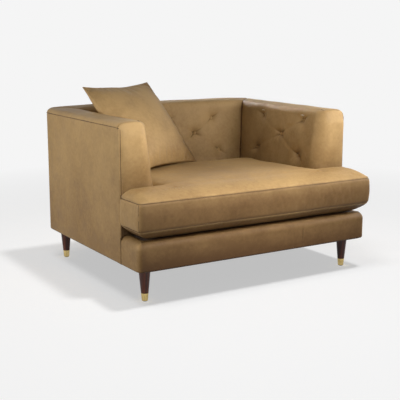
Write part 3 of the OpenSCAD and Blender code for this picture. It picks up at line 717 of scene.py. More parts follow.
@dataclass(frozen=True)
class TuftField:
    """Buttoned dimples on a face, with the pleats and tucks that run between them."""

    spots: tuple[tuple[float, float], ...]
    pairs: tuple[tuple[int, int], ...]
    depth: float = 0.022
    dimple_r: float = 0.036
    throat_r: float = 0.013
    pleat_depth: float = 0.0032
    pleat_w: float = 0.012
    tuck_depth: float = 0.0088
    tuck_w: float = 0.0040
    tuck_l: float = 0.040

    def at(self, along: np.ndarray, z: np.ndarray) -> np.ndarray:
        """Measure how far the leather is drawn in.

        Args:
            along: Distance along the face.
            z: Height.

        Returns:
            The depth at each place.
        """
        deep, tucks, pleats = self._parts(along, z)
        return np.maximum(deep, pleats) + tucks

    def _parts(self, along: np.ndarray, z: np.ndarray) -> tuple[np.ndarray, np.ndarray, np.ndarray]:
        """Measure the dimples, the tucks beside them and the pleats between them.

        Args:
            along: Distance along the face.
            z: Height.

        Returns:
            The three depths at each place.
        """
        place = np.stack([along, z], axis=-1)
        deep = np.zeros(along.shape)
        tucks = np.zeros(along.shape)
        for index, spot in enumerate(self.spots):
            away = place - np.array(spot)
            r = np.linalg.norm(away, axis=-1)
            bowl = 0.5 * np.exp(-((r / self.dimple_r) ** 2)) + 0.5 * np.exp(-((r / self.throat_r) ** 1.6))
            deep = np.maximum(deep, self.depth * bowl)
            for ray in self._rays(index):
                ahead = away @ ray
                aside = np.abs(away[..., 0] * ray[1] - away[..., 1] * ray[0])
                run = np.exp(-((ahead / self.tuck_l) ** 2)) * fade(ahead, 0.002, 0.010)
                tucks = np.maximum(tucks, self.tuck_depth * run * np.exp(-((aside / self.tuck_w) ** 1.3)))
        pleats = np.zeros(along.shape)
        for a, b in self.pairs:
            start, end = np.array(self.spots[a]), np.array(self.spots[b])
            line = end - start
            t = np.clip((place - start) @ line / (line @ line), 0.0, 1.0)
            off = np.linalg.norm(place - start - t[..., None] * line, axis=-1)
            waist = 0.45 + 0.55 * (2.0 * t - 1.0) ** 2
            pleats = np.maximum(pleats, self.pleat_depth * waist * np.exp(-((off / self.pleat_w) ** 2)))
        return deep, tucks, pleats

    def crease(self, along: np.ndarray, z: np.ndarray) -> np.ndarray:
        """Mark how far down in a tuck or round a button each place lies, which is painted there as shade.

        Args:
            along: Distance along the face.
            z: Height.

        Returns:
            The mark at each place, from 0 to 1.
        """
        deep, tucks, _ = self._parts(along, z)
        throat = np.clip(deep / self.depth - 0.45, 0.0, 1.0) / 0.55
        return np.clip(np.maximum(1.1 * tucks / self.tuck_depth, 0.9 * throat), 0.0, 1.0)

    def _rays(self, index: int) -> list[np.ndarray]:
        """Directions in which the leather tucks away from a button.

        Args:
            index: The button.

        Returns:
            Unit directions.
        """
        spot = np.array(self.spots[index])
        rays = []
        for pair in self.pairs:
            if index in pair:
                other = np.array(self.spots[pair[0] if pair[1] == index else pair[1]])
                rays.append((other - spot) / np.linalg.norm(other - spot))
        rays += [-ray for ray in rays[:2]]
        return rays


ARM_TUFTS = TuftField(
    spots=((0.1685, 0.705), (-0.1675, 0.705), (0.0005, 0.622), (0.1965, 0.531), (-0.1615, 0.531)),
    pairs=((0, 2), (1, 2), (2, 3), (2, 4)),
)
BACK_TUFTS = TuftField(
    spots=(
        (-0.276, 0.683), (0.0, 0.683), (0.276, 0.683), (-0.166, 0.608), (0.166, 0.608),
        (-0.310, 0.512), (0.0, 0.512), (0.310, 0.512),
    ),
    pairs=((0, 3), (1, 3), (1, 4), (2, 4), (3, 5), (3, 6), (4, 6), (4, 7)),
)


def front_shade(plan: np.ndarray, most: float) -> np.ndarray:
    """Give painted shade to the parts of a line of the lower front panels that face the front.

    Args:
        plan: Places in X and Y along the line.
        most: Share of painted shade on the front itself.

    Returns:
        The share at each place.
    """
    ahead = np.gradient(plan, axis=0)
    ahead /= np.maximum(np.linalg.norm(ahead, axis=1), 1e-9)[:, None]
    return most * ahead[:, 0] ** 2 * (plan[:, 1] < FORM.arm_y - 0.05)


def weld(grids: Sequence[np.ndarray]) -> tuple[np.ndarray, list[list[int]]]:
    """Join grids of points into one mesh whose shared places are one point.

    Args:
        grids: Arrays of rows by columns by three, or by four with the painted shade there.

    Returns:
        Points, with that share where it was given, and faces.
    """
    flat = np.concatenate([grid.reshape(-1, grid.shape[-1]) for grid in grids])
    _, first, inverse = np.unique(np.round(flat[:, :3], 5), axis=0, return_index=True, return_inverse=True)
    inverse = inverse.reshape(-1)
    faces: list[list[int]] = []
    start = 0
    for grid in grids:
        rows, columns = grid.shape[:2]
        index = inverse[start : start + rows * columns].reshape(rows, columns)
        start += rows * columns
        quads = np.stack([index[:-1, :-1], index[1:, :-1], index[1:, 1:], index[:-1, 1:]], axis=-1).reshape(-1, 4)
        for quad in quads.tolist():
            face = [p for k, p in enumerate(quad) if p != quad[k - 1]]
            if len(set(face)) >= 3:
                faces.append(face)
    return flat[first], faces


def make_mesh(name: str, points: np.ndarray, faces: Sequence[Sequence[int]], core: Vector | None = None) -> Object:
    """Make a smooth object with its faces turned outwards.

    Args:
        name: The piece's name.
        points: Places of the vertices, with the painted shade there where that is given.
        faces: Indices of each face.
        core: A point inside the piece, where the mesh is an open sheet.

    Returns:
        The object.
    """
    mesh = bpy.data.meshes.new(name)
    mesh.from_pydata([tuple(map(float, p[:3])) for p in points], [], [list(f) for f in faces])
    if points.shape[1] == 4:
        mesh.attributes.new("shade", "FLOAT", "POINT").data.foreach_set("value", points[:, 3].astype(np.float32))
    work = bmesh.new()
    work.from_mesh(mesh)
    bmesh.ops.recalc_face_normals(work, faces=work.faces)
    if core is not None:
        lean = sum(f.normal.dot(f.calc_center_median() - core) * f.calc_area() for f in work.faces)
        if lean < 0:
            bmesh.ops.reverse_faces(work, faces=work.faces)
    work.to_mesh(mesh)
    work.free()
    mesh.polygons.foreach_set("use_smooth", [True] * len(mesh.polygons))
    piece = bpy.data.objects.new(name, mesh)
    bpy.context.scene.collection.objects.link(piece)
    return piece


def sheet(name: str, grids: Sequence[np.ndarray], core: Vector | None = None) -> Object:
    """Make one smooth object of grids that share their edges."""
    return make_mesh(name, *weld(grids), core)


def disc(rings: Sequence[tuple[float, float]], sides: int, top: float) -> tuple[list[tuple], list[list[int]]]:
    """Lay rings of points round a middle point, and join them.

    Args:
        rings: Radius and height of each ring, from the middle out.
        sides: Points in a ring.
        top: Height of the middle point.

    Returns:
        Points and faces.
    """
    turns = [2 * math.pi * k / sides for k in range(sides)]
    points = [(0.0, 0.0, top)] + [(r * math.cos(b), r * math.sin(b), z) for r, z in rings for b in turns]
    faces = [[0, 1 + k, 1 + (k + 1) % sides] for k in range(sides)]
    for ring in range(len(rings) - 1):
        for k in range(sides):
            a, b = 1 + ring * sides + k, 1 + ring * sides + (k + 1) % sides
            faces.append([a, a + sides, b + sides, b])
    return points, faces


def sway(piece: Object, height: float, place: Callable[[Vector], Vector]) -> None:
    """Move a cover's points out and in by a soft noise.

    Args:
        piece: The object to move.
        height: Greatest move in metres.
        place: Where a point lies in the noise.
    """
    mesh = piece.data
    for vertex, normal in zip(mesh.vertices, [v.vector.copy() for v in mesh.vertex_normals]):
        vertex.co += normal * height * noise.noise(place(vertex.co))
    mesh.update()


def soften(piece: Object, height: float, size: float, seed: float) -> None:
    """Give a cover the slight swell and sag of hand-pulled leather.

    Args:
        piece: The object to move.
        height: Greatest move in metres.
        size: Width of one swell.
        seed: Shift of the noise, so that pieces differ.
    """
    shift = Vector((seed, seed * 1.7, seed * 0.6))
    sway(piece, height, lambda co: co / size + shift)


def puff(piece: Object, sewn: np.ndarray, pressure: float, spare: float) -> np.ndarray:
    """Fill a sewn cover with air as a cloth simulation, and measure how each point moves.

    Args:
        piece: A closed cover of even faces, left as it was.
        sewn: Which points are held by seams or by what the cover rests on.
        pressure: Pressure of the filling.
        spare: Share by which the leather is cut larger than its form.

    Returns:
        The move of each point.
    """
    scene = bpy.context.scene
    rest = read_points(piece.data)
    held = piece.vertex_groups.new(name="sewn")
    held.add([int(i) for i in np.nonzero(sewn)[0]], 1.0, "REPLACE")
    modifier = piece.modifiers.new("puff", "CLOTH")
    cloth = modifier.settings
    cloth.quality = 6
    cloth.mass = 0.4
    cloth.tension_stiffness = cloth.compression_stiffness = 20.0
    cloth.shear_stiffness = 8.0
    cloth.bending_stiffness = 0.8
    cloth.use_pressure = True
    cloth.uniform_pressure_force = pressure
    cloth.vertex_group_mass = "sewn"
    cloth.effector_weights.gravity = 0.0
    cloth.shrink_min = -spare
    modifier.collision_settings.use_collision = False
    modifier.point_cache.frame_start = 1
    modifier.point_cache.frame_end = PUFF_FRAMES
    for step in range(1, PUFF_FRAMES + 1):
        scene.frame_set(step)
    moved = read_points(piece.evaluated_get(bpy.context.evaluated_depsgraph_get()).data)
    piece.modifiers.remove(modifier)
    piece.vertex_groups.remove(held)
    scene.frame_set(1)
    return moved - rest


def read_points(mesh: Mesh) -> np.ndarray:
    """Read a mesh's points.

    Args:
        mesh: The mesh.

    Returns:
        The points.
    """
    flat = np.empty(len(mesh.vertices) * 3)
    mesh.vertices.foreach_get("co", flat)
    return flat.reshape(-1, 3)


def write_points(mesh: Mesh, points: np.ndarray) -> None:
    """Write a mesh's points."""
    mesh.vertices.foreach_set("co", points.ravel())
    mesh.update()


def capped(moves: np.ndarray, most: float) -> np.ndarray:
    """Limit moves smoothly to a length.

    Args:
        moves: The moves.
        most: Their greatest length.

    Returns:
        The limited moves.
    """
    length = np.maximum(np.linalg.norm(moves, axis=1), 1e-9)
    return moves * (most * np.tanh(length / most) / length)[:, None]


def tree_of(points: np.ndarray) -> kdtree.KDTree:
    """Sort places so that the nearest ones are found fast.

    Args:
        points: The places.

    Returns:
        The tree.
    """
    tree = kdtree.KDTree(len(points))
    for index, place in enumerate(points):
        tree.insert(place, index)
    tree.balance()
    return tree


def dress(piece: Object, material: Material, slot: str, body: str, *nodes: str) -> Object:
    """Give a piece its material and body, and hide the frame nodes that it stands for.

    Args:
        piece: The object.
        material: Its material.
        slot: The record's slot; not used.
        body: The body that it rides on.
        *nodes: Frame nodes that it replaces.

    Returns:
        The same object.
    """
    piece.data.materials.clear()
    piece.data.materials.append(material)
    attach(piece, body)
    if nodes:
        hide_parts(*nodes)
    LOG.info("%s: %d faces on %s", piece.name, len(piece.data.polygons), body)
    return piece


def bead(name: str, path: np.ndarray, radius: float, sides: int = 8, closed: bool = False) -> Object:
    """Make a thin round cord along a path.

    Args:
        name: The piece's name.
        path: Places along the line.
        radius: The cord's radius.
        sides: Sides of its section.
        closed: Whether the ends meet.

    Returns:
        The object.
    """
    count = len(path)
    ahead = np.roll(path, -1, axis=0) - np.roll(path, 1, axis=0)
    if not closed:
        ahead[0], ahead[-1] = path[1] - path[0], path[-1] - path[-2]
    ahead /= np.linalg.norm(ahead, axis=1)[:, None]
    up = np.where(np.abs(ahead[:, 2:3]) > 0.9, np.array([[1.0, 0.0, 0.0]]), np.array([[0.0, 0.0, 1.0]]))
    side = np.cross(ahead, up)
    side /= np.linalg.norm(side, axis=1)[:, None]
    rise = np.cross(side, ahead)
    turns = np.arange(sides) * 2 * np.pi / sides
    points = np.concatenate([path + radius * (math.cos(a) * side + math.sin(a) * rise) for a in turns])
    faces = []
    for k in range(count if closed else count - 1):
        ahead_k = (k + 1) % count
        for j in range(sides):
            this, other = j * count, ((j + 1) % sides) * count
            faces.append([this + k, this + ahead_k, other + ahead_k, other + k])
    if not closed:
        faces.append([j * count for j in range(sides)])
        faces.append([j * count + count - 1 for j in reversed(range(sides))])
    return make_mesh(name, points, faces)


def stitches(
    name: str,
    path: np.ndarray,
    normal: np.ndarray,
    pitch: float = 0.006,
    length: float = 0.0042,
    radius: float = 0.0006,
) -> Object:
    """Sew a row of thread along a path, as one mesh of short domed stitches.

    Args:
        name: The piece's name.
        path: Places along the seam.
        normal: Direction out of the leather at each place.
        pitch: Distance between stitches.
        length: Length of a stitch.
        radius: Half the thread's thickness.

    Returns:
        The object.
    """
    steps = np.linalg.norm(np.diff(path, axis=0), axis=1)
    reach = np.concatenate([[0.0], np.cumsum(steps)])
    count = max(int(reach[-1] / pitch), 1)
    points: list[np.ndarray] = []
    faces: list[list[int]] = []
    for k in range(count):
        middle = (k + 0.5) * reach[-1] / count
        ends = [np.array([np.interp(middle + e * length, reach, path[:, i]) for i in range(3)]) for e in (-0.5, 0.5)]
        out = np.array([np.interp(middle, reach, normal[:, i]) for i in range(3)])
        run = ends[1] - ends[0]
        side = np.cross(run, out)
        side /= max(np.linalg.norm(side), 1e-9)
        base = len(points)
        for share, swell in ((0.0, 0.35), (0.25, 1.0), (0.75, 1.0), (1.0, 0.35)):
            centre = ends[0] + run * share
            for turn in range(6):
                a = turn * math.pi / 3
                points.append(centre + radius * swell * (math.cos(a) * side + math.sin(a) * out))
        for ring in range(3):
            for turn in range(6):
                a, b = base + ring * 6 + turn, base + ring * 6 + (turn + 1) % 6
                faces.append([a, b, b + 6, a + 6])
        faces.append([base + t for t in reversed(range(6))])
        faces.append([base + 18 + t for t in range(6)])
    return make_mesh(name, np.array(points), faces)


# Covers of the body


@dataclass
class ArmLeather:
    """One arm's inside leather, which wraps from the seat over the top and round the front."""

    side: Side
    form: ChairForm = FORM
    tufts: TuftField = ARM_TUFTS
    face_columns: int = 150
    arc_columns: int = 16
    flat_columns: int = 10
    edge_columns: int = 7
    face_rows: int = 110
    roll_rows: int = 9
    front_roll: float = 0.011
    front_swell: float = 0.012
    tuck_under: float = 0.012
    seam_depth: float = 0.0050
    seam_w: float = 0.0036
    seam_line_r: float = 0.0013
    seam_bend: tuple[float, float] = (0.35, 0.8)
    rear_run: float = 0.020
    swell_edge: float = 0.014
    low_shade: float = 0.50
    seam_shade: float = 0.8

    def _columns(self) -> dict[str, np.ndarray]:
        """Lay out the columns along the face, round the front edge and across the front.

        Returns:
            Shares along the face, angles of the arc and places across the front.
        """
        flat_end = self.form.arm_top_t - self.form.outer_r
        flat = np.linspace(self.form.front_r, flat_end, self.flat_columns + 1)[1:]
        edge = flat_end + self.form.outer_r * np.sin(quarter(self.edge_columns, first=False))
        return {
            "face": np.concatenate([[-self.rear_run], np.linspace(0.0, 1.0, self.face_columns + 1)]),
            "arc": quarter(self.arc_columns, first=False),
            "front": np.concatenate([flat, edge]),
        }

    def _wrap(self) -> tuple[np.ndarray, np.ndarray]:
        """Build the face, the round front edge and the front panel, up to the end of the roll.

        Returns:
            Grid of points and each column's arc share, 0 on the face and 1 on the front.
        """
        f, cols = self.form, self._columns()
        n_face, n_front = len(cols["face"]), len(cols["front"])
        face, arc, front = slice(0, n_face), slice(n_face, -n_front), slice(-n_front, None)
        arc_y = f.arm_y + f.front_r
        bend = np.concatenate([np.zeros(n_face), cols["arc"] / (np.pi / 2), np.ones(n_front)])
        ease = fade(bend, 0.15, 1.0)
        wide = mix(f.inner_r, self.front_roll, ease)
        reach = f.front_r - wide[arc]
        end_q = np.concatenate([np.full(n_face, f.inner_r), f.front_r - reach * np.cos(cols["arc"]), cols["front"]])
        rear_end = f.back_face(f.roll_z) + f.inner_r * f.mitre
        end_y = np.concatenate([
            mix(rear_end, arc_y, cols["face"]), arc_y - reach * np.sin(cols["arc"]),
            np.full(n_front, f.arm_y + self.front_roll),
        ])
        top = f.arm_top(end_q, end_y)
        tall = mix(top - f.roll_z, self.front_roll, ease)
        t = np.linspace(0.0, 1.0, self.face_rows + 1)[:, None]
        theta = quarter(self.roll_rows, first=False)[:, None]
        z = np.concatenate([mix(f.base_top - self.tuck_under, top - tall, t), top - tall + tall * np.sin(theta)])
        s = np.concatenate([np.zeros((len(t), len(top))), wide * (1.0 - np.cos(theta))])
        angle = np.concatenate([np.zeros((len(t), 1)), theta]) * np.ones_like(z)
        x, y = np.empty_like(z), np.empty_like(z)
        rear = f.back_face(z[:, face]) + s[:, face] * f.mitre
        x[:, face] = f.arm_face(z[:, face]) + s[:, face]
        y[:, face] = mix(rear, arc_y, cols["face"])
        reach = f.front_r - s[:, arc]
        x[:, arc] = f.arm_face(z[:, arc]) + f.front_r - reach * np.cos(cols["arc"])
        y[:, arc] = arc_y - reach * np.sin(cols["arc"])
        across = (cols["front"] - f.front_r) / (f.arm_top_t - f.front_r)
        x[:, front] = mix(f.arm_face(z[:, front]) + f.front_r, f.half_w, across)
        y[:, front] = f.arm_y + s[:, front]
        unrolled = np.where(angle > 0, f.roll_z + angle * f.inner_r, z)[:, face]
        inward = np.zeros_like(z)
        inward[:, face] = self.tufts.at(y[:, face], unrolled) + CORNER.depth(rear - y[:, face], angle[:, face])
        seam = np.exp(-((((np.pi / 2 - angle) * tall) / self.seam_w) ** 2)) * (angle > 0)
        hold = fade(bend, *self.seam_bend)
        x += np.where(bend < 1, inward * np.cos(angle), 0.0)
        z -= inward * np.sin(angle) + self.seam_depth * seam * hold
        swell = self.front_swell * fade(z, f.seat_z + 0.03, 0.60) * (1.0 - fade(z, 0.695, f.arm_crown + 0.004))
        swell = swell * (1.0 - np.exp(-(((f.half_w - x) / self.swell_edge) ** 2))) * fade(bend, 0.25, 1.0)
        y -= swell * np.sin(bend * np.pi / 2)
        x -= swell * np.cos(bend * np.pi / 2)
        # Painted shade: low inside the chair, in the tucks round the buttons, in the fold at the back, along the front
        # seam's groove and low on the front.
        deep = CORNER.well_shade(z[:, face], angle[:, face]) * fade(y[:, face], f.arm_y + 0.05, f.arm_y + 0.30)
        low = self.low_shade * fade(bend, 0.0, 0.5) * (1.0 - fade(z, f.seat_z - 0.02, 0.64))
        shade = np.maximum(self.seam_shade * seam * hold, low)
        shade[:, face] = np.maximum.reduce([
            shade[:, face], self.tufts.crease(y[:, face], unrolled), CORNER.shade(rear - y[:, face]), 0.6 * deep
        ])
        return places(x, y, z, shade), bend

    def _cap(self, wrap: np.ndarray, bend: np.ndarray) -> np.ndarray:
        """Fill the top between the roll, the front seam, the outer seam and the mitre.

        Args:
            wrap: The wrap's points.
            bend: Each column's arc share.

        Returns:
            Grid of points whose edges meet the wrap, with a flap under the back's top and a tucked outer edge.
        """
        f = self.form
        rim = wrap[-1]
        side_count = int((bend == 0).sum())
        inner, front = rim[1:side_count], rim[side_count - 1 :]
        base_x = f.arm_face(f.roll_z)
        v = np.linspace(0.0, 1.0, len(inner))[:, None]
        across = (front[:, 0] - base_x)[None, :]
        share = (across - f.inner_r) / (f.arm_top_t - f.inner_r)
        rear_y = f.back_face(f.roll_z) + across * f.mitre
        inner_y = mix(rear_y[0, 0], front[0, 1], v)
        outer_y = mix(f.rear_y, front[-1, 1], v)
        corners = (
            (1 - v) * (1 - share) * rear_y[0, 0] + (1 - v) * share * f.rear_y
            + v * (1 - share) * front[0, 1] + v * share * front[-1, 1]
        )
        y = (1 - share) * inner_y + share * outer_y + (1 - v) * rear_y + v * front[None, :, 1] - corners
        z = f.arm_top(np.broadcast_to(across, y.shape), y) - CORNER.depth(rear_y - y, np.full_like(y, np.pi / 2))
        hold = fade(bend[side_count - 1 :], *self.seam_bend)[None, :]
        z = z - self.seam_depth * hold * np.exp(-(((y - front[None, :, 1]) / self.seam_w) ** 2))
        # Painted shade in the fold where the arm's top meets the back's top.
        shade = self.seam_shade * np.exp(-np.maximum(rear_y - y, 0.0) / 0.003)
        cap = places(base_x + across, y, z, shade)
        cap[:, 0] = inner
        cap[-1] = front
        flap = cap[:1].copy()
        flap[..., 1] += f.flap(across)
        flap[..., 2] -= 0.004
        cap = np.concatenate([flap, cap])
        edge = cap[:, -1:].copy()
        edge[..., [0, 2]] -= f.edge_tuck
        return np.concatenate([cap, edge], axis=1)

    def build(self, leather: Material, seam_shadow_hide: Material) -> Object:
        """Make the piece and the seam along the top of its front.

        Args:
            leather: The leather.
            seam_shadow_hide: Dark leather laid in a seam as its painted shade.

        Returns:
            The dressed object.
        """
        f, side, word = self.form, self.side, self.side.word
        wrap, bend = self._wrap()
        grids = [f.worn(f.round_corner(grid), side) for grid in (wrap, self._cap(wrap, bend))]
        points, faces = weld(grids)
        points[:, 0] *= side.value
        core = Vector((side.value * (f.half_w - 0.05), 0.05, 0.5))
        piece = make_mesh(f"arm_leather_{word}", points, faces, core)
        soften(piece, SWELL, 0.12, 3.0 + side.value)
        dress(piece, leather, "leather", "chair", f"inside_arm_cover_{word}", f"arm_top_cover_{word}")
        # A dark line of painted shade along the front seam's groove.
        path = grids[0][-1][bend > 0.3][:, :3] * side.flip + np.array([0.0, 0.0, 0.0008])
        line = bead(f"arm_front_seam_{word}", path, self.seam_line_r)
        dress(line, seam_shadow_hide, "leather", "chair")
        return piece


@dataclass
class BackLeather:
    """The inside back's leather, from the seat over the roll to the rear seam."""

    form: ChairForm = FORM
    tufts: TuftField = BACK_TUFTS
    columns: int = 230
    face_rows: int = 110
    roll_rows: int = 9
    top_rows: int = 10
    edge_rows: int = 7
    tuck_under: float = 0.012

    def build(self, leather: Material) -> Object:
        """Make the piece.

        Args:
            leather: The leather.

        Returns:
            The dressed object.
        """
        f = self.form
        u = np.concatenate([[-1.0], np.linspace(-1.0, 1.0, self.columns + 1), [1.0]])
        t = np.linspace(0.0, 1.0, self.face_rows + 1)[:, None]
        theta = quarter(self.roll_rows, first=False)[:, None]
        flat_end = f.arm_top_t - f.outer_r
        flat = np.linspace(f.inner_r, flat_end, self.top_rows + 1)[1:, None]
        q_top = np.concatenate([flat, flat_end + f.outer_r * np.sin(quarter(self.edge_rows, first=False)[:, None])])
        ones = np.ones((1, len(u)))
        roll_top = f.back_top(np.array(f.inner_r), np.clip(u, -1, 1))
        z = np.concatenate([
            mix(f.base_top - self.tuck_under, f.roll_z, t) * ones,
            f.roll_z + (roll_top - f.roll_z) * np.sin(theta),
            f.back_top(q_top * ones, np.clip(u, -1, 1) * np.ones_like(q_top)),
        ])
        q = np.concatenate([np.zeros_like(t), f.inner_r * (1 - np.cos(theta)), q_top]) * ones
        angle = np.concatenate([np.zeros_like(t), theta, np.full_like(q_top, np.pi / 2)]) * ones
        half = f.arm_face(z) + q
        x = u * half
        y = f.back_face(z) + q * f.mitre
        unrolled = np.where(angle > 0, f.roll_z + angle * f.inner_r, z)
        faced = q < f.inner_r * 0.999
        depth = np.where(faced, self.tufts.at(x, unrolled), 0.0) + CORNER.depth(half - np.abs(x), angle)
        y = y + depth * np.cos(angle)
        z = z - depth * np.sin(angle)
        for column, way in ((0, -1.0), (-1, 1.0)):
            x[:, column] += way * f.flap(q[:, 0])
            z[:, column] -= 0.003 * np.sin(angle[:, 0])
        # Painted shade in the tucks round the buttons, in the folds at the arms and low inside the chair.
        tucked = np.where(faced, self.tufts.crease(x, unrolled), 0.0)
        shade = np.maximum.reduce([tucked, CORNER.shade(half - np.abs(x)), CORNER.well_shade(z, angle)])
        grid = f.round_corner(places(x, y, z, shade))
        tuck = grid[-1:].copy()
        tuck[..., 1:3] -= f.edge_tuck
        piece = sheet("back_leather", [np.concatenate([grid, tuck])], Vector((0.0, f.rear_y - 0.05, 0.5)))
        soften(piece, SWELL, 0.13, 9.0)
        dress(piece, leather, "leather", "chair", "inside_back_cover", "back_top_cover")
        return piece


@dataclass
class OutsideLeather:
    """The plain outside panels of the arms and the back, with their turned lower edges."""

    form: ChairForm = FORM
    wrap_front: float = 0.002
    front_edge_r: float = 0.003
    lap: float = 0.0014
    wave: float = 0.0011
    rows: int = 60

    def _profile(self) -> np.ndarray:
        """Heights and insets of a panel from its tuck under the base to its top seam.

        Returns:
            The insets and the heights, each as a column.
        """
        f = self.form
        wall = [(0.0, z) for z in np.linspace(f.base_bottom + f.foot_r, f.seam_z - 0.006, self.rows + 1)[1:]]
        top = [(0.0006, f.seam_z - 0.003), (0.002, f.seam_z - 0.0008), (0.0045, f.seam_z - 0.0012)]
        return np.array(f.foot() + wall + top).T[..., None]

    def arm(self, side: Side, leather: Material) -> Object:
        """Make an arm's outside panel, which laps over the front edge and turns the rear corner.

        Args:
            side: The arm.
            leather: The leather.

        Returns:
            The dressed object.
        """
        f = self.form
        r, front_x, front_y = self.front_edge_r, f.half_w - self.front_edge_r, f.arm_y - self.lap
        rear_r, rear_x, rear_y = f.corner_r, f.half_w - f.corner_r, f.rear_y - f.corner_r
        path = [(front_x - k, front_y, 0.0, -1.0) for k in (self.wrap_front, self.wrap_front / 2)]
        path += [
            (front_x + r * math.sin(a), front_y + r * (1 - math.cos(a)), math.sin(a), -math.cos(a)) for a in quarter(6)
        ]
        path += [(f.half_w, y, 1.0, 0.0) for y in np.linspace(f.arm_y + r, rear_y, 72)[1:-1]]
        path += [
            (rear_x + rear_r * math.cos(a), rear_y + rear_r * math.sin(a), math.cos(a), math.sin(a)) for a in quarter(9)
        ]
        path += [(rear_x - 0.002, f.rear_y - 0.0005, 0.0, 1.0), (rear_x - 0.004, f.rear_y - 0.003, 0.0, 1.0)]
        hem = np.array(path[:1]) + np.array([-0.0015, 0.0025, 0.0, 0.0])
        x, y, out_x, out_y = np.concatenate([hem, path]).T
        inset, height = self._profile()
        grid = f.worn(places(x - out_x * inset, y - out_y * inset, height), side)
        grid[..., 0] *= side.value
        core = Vector((side.value * (f.half_w - 0.1), 0.1, 0.45))
        piece = sheet(f"outside_arm_leather_{side.word}", [grid], core)
        self._drape(piece, 5.0 + side.value)
        return dress(piece, leather, "leather", "chair", f"outside_arm_cover_{side.word}")

    def _drape(self, piece: Object, seed: float) -> None:
        """Let a plain panel wave a little, mostly up and down.

        Args:
            piece: The panel.
            seed: Shift of the noise.
        """
        sway(piece, self.wave, lambda co: Vector((co.x * 9.0 + seed, co.y * 9.0, co.z * 2.5)))

    def back(self, leather: Material) -> Object:
        """Make the outside back's flat panel.

        Args:
            leather: The leather.

        Returns:
            The dressed object.
        """
        f = self.form
        inset, height = self._profile()
        reach = f.half_w - f.corner_r
        x = np.concatenate([[-reach + 0.001], np.linspace(-reach + 0.004, reach - 0.004, 110), [reach - 0.001]])
        dip = np.concatenate([[0.004], np.zeros(110), [0.004]])
        grid = places(x, f.rear_y - inset - dip, height)
        piece = sheet("outside_back_leather", [grid], Vector((0.0, 0.0, 0.45)))
        self._drape(piece, 14.0)
        return dress(piece, leather, "leather", "chair", "outside_back_cover")


@dataclass
class BaseLeather:
    """The front border's leather and the deck cloth behind it."""

    form: ChairForm = FORM
    corner_r: float = 0.024
    top_r: float = 0.035
    end_lap: float = 0.006
    front_painted_shade: float = 0.84

    def _path(self, inset: float) -> np.ndarray:
        """Line of the border at an inset, from the left arm round the front to the right arm.

        Args:
            inset: Distance in from the outer face.

        Returns:
            Places in X and Y.
        """
        f = self.form
        r = max(self.corner_r - inset, 0.002)
        cx, cy = f.half_w - self.corner_r, f.border_y + self.corner_r
        side = [(f.half_w - inset, y) for y in np.linspace(f.arm_y + self.end_lap, cy, 22)[:-1]]
        corner = [(cx + r * math.cos(a), cy - r * math.sin(a)) for a in quarter(11)]
        front = [(x, f.border_y + inset) for x in np.linspace(cx, 0.0, 90)[1:]]
        right = np.array(side + corner + front)
        return np.concatenate([right, right[:-1][::-1] * np.array([-1.0, 1.0])])

    def border(self, leather: Material) -> Object:
        """Make the border's cover.

        Args:
            leather: The leather.

        Returns:
            The dressed object.
        """
        f = self.form
        section = f.foot()
        section += [(0.0, z) for z in np.linspace(f.base_bottom + f.foot_r, f.base_top - self.top_r, 16)[1:-1]]
        section += [(self.top_r * (1 - math.cos(a)), f.base_top - self.top_r * (1 - math.sin(a))) for a in quarter(11)]
        section += [(self.top_r + 0.012, f.base_top - 0.001), (self.top_r + 0.014, f.base_top - 0.005)]
        # Painted shade on the front, darker towards the bottom.
        dark = front_shade(self._path(0.0), self.front_painted_shade)
        rows = [lifted(self._path(inset), z, dark * (1.4 - 0.4 * fade(z, 0.155, 0.24))) for inset, z in section]
        piece = sheet("front_border_leather", [np.stack(rows)], Vector((0.0, 0.0, 0.2)))
        soften(piece, SWELL, 0.10, 21.0)
        dress(piece, leather, "leather", "chair", "front_border_cover")
        return piece

    def deck(self, cloth: Material) -> Object:
        """Make the deck's cloth, which lies under the seat cushion.

        Args:
            cloth: The cloth.

        Returns:
            The dressed object.
        """
        f = self.form
        wide = f.half_w - self.top_r - 0.004
        narrow = f.arm_face(f.base_top) + 0.014
        ys = np.concatenate([
            np.linspace(f.border_y + self.top_r - 0.002, f.arm_y + 0.02, 26),
            np.linspace(f.arm_y + 0.022, f.back_face(f.base_top) + 0.014, 70),
        ])[:, None]
        x = np.where(ys <= f.arm_y + 0.0201, wide, narrow) * np.linspace(-1.0, 1.0, 120)
        front = fade(ys, f.border_y + self.top_r, f.border_y + self.top_r + 0.02)
        z = f.base_top - 0.0012 + 0.0008 * np.sin(9.0 * x) * np.cos(11.0 * ys) * front - 0.001 * (1 - front)
        piece = sheet("deck_cloth_top", [places(x, ys, z)], Vector((0.0, 0.0, 0.0)))
        return dress(piece, cloth, "deck_cloth", "chair", "deck_cover")


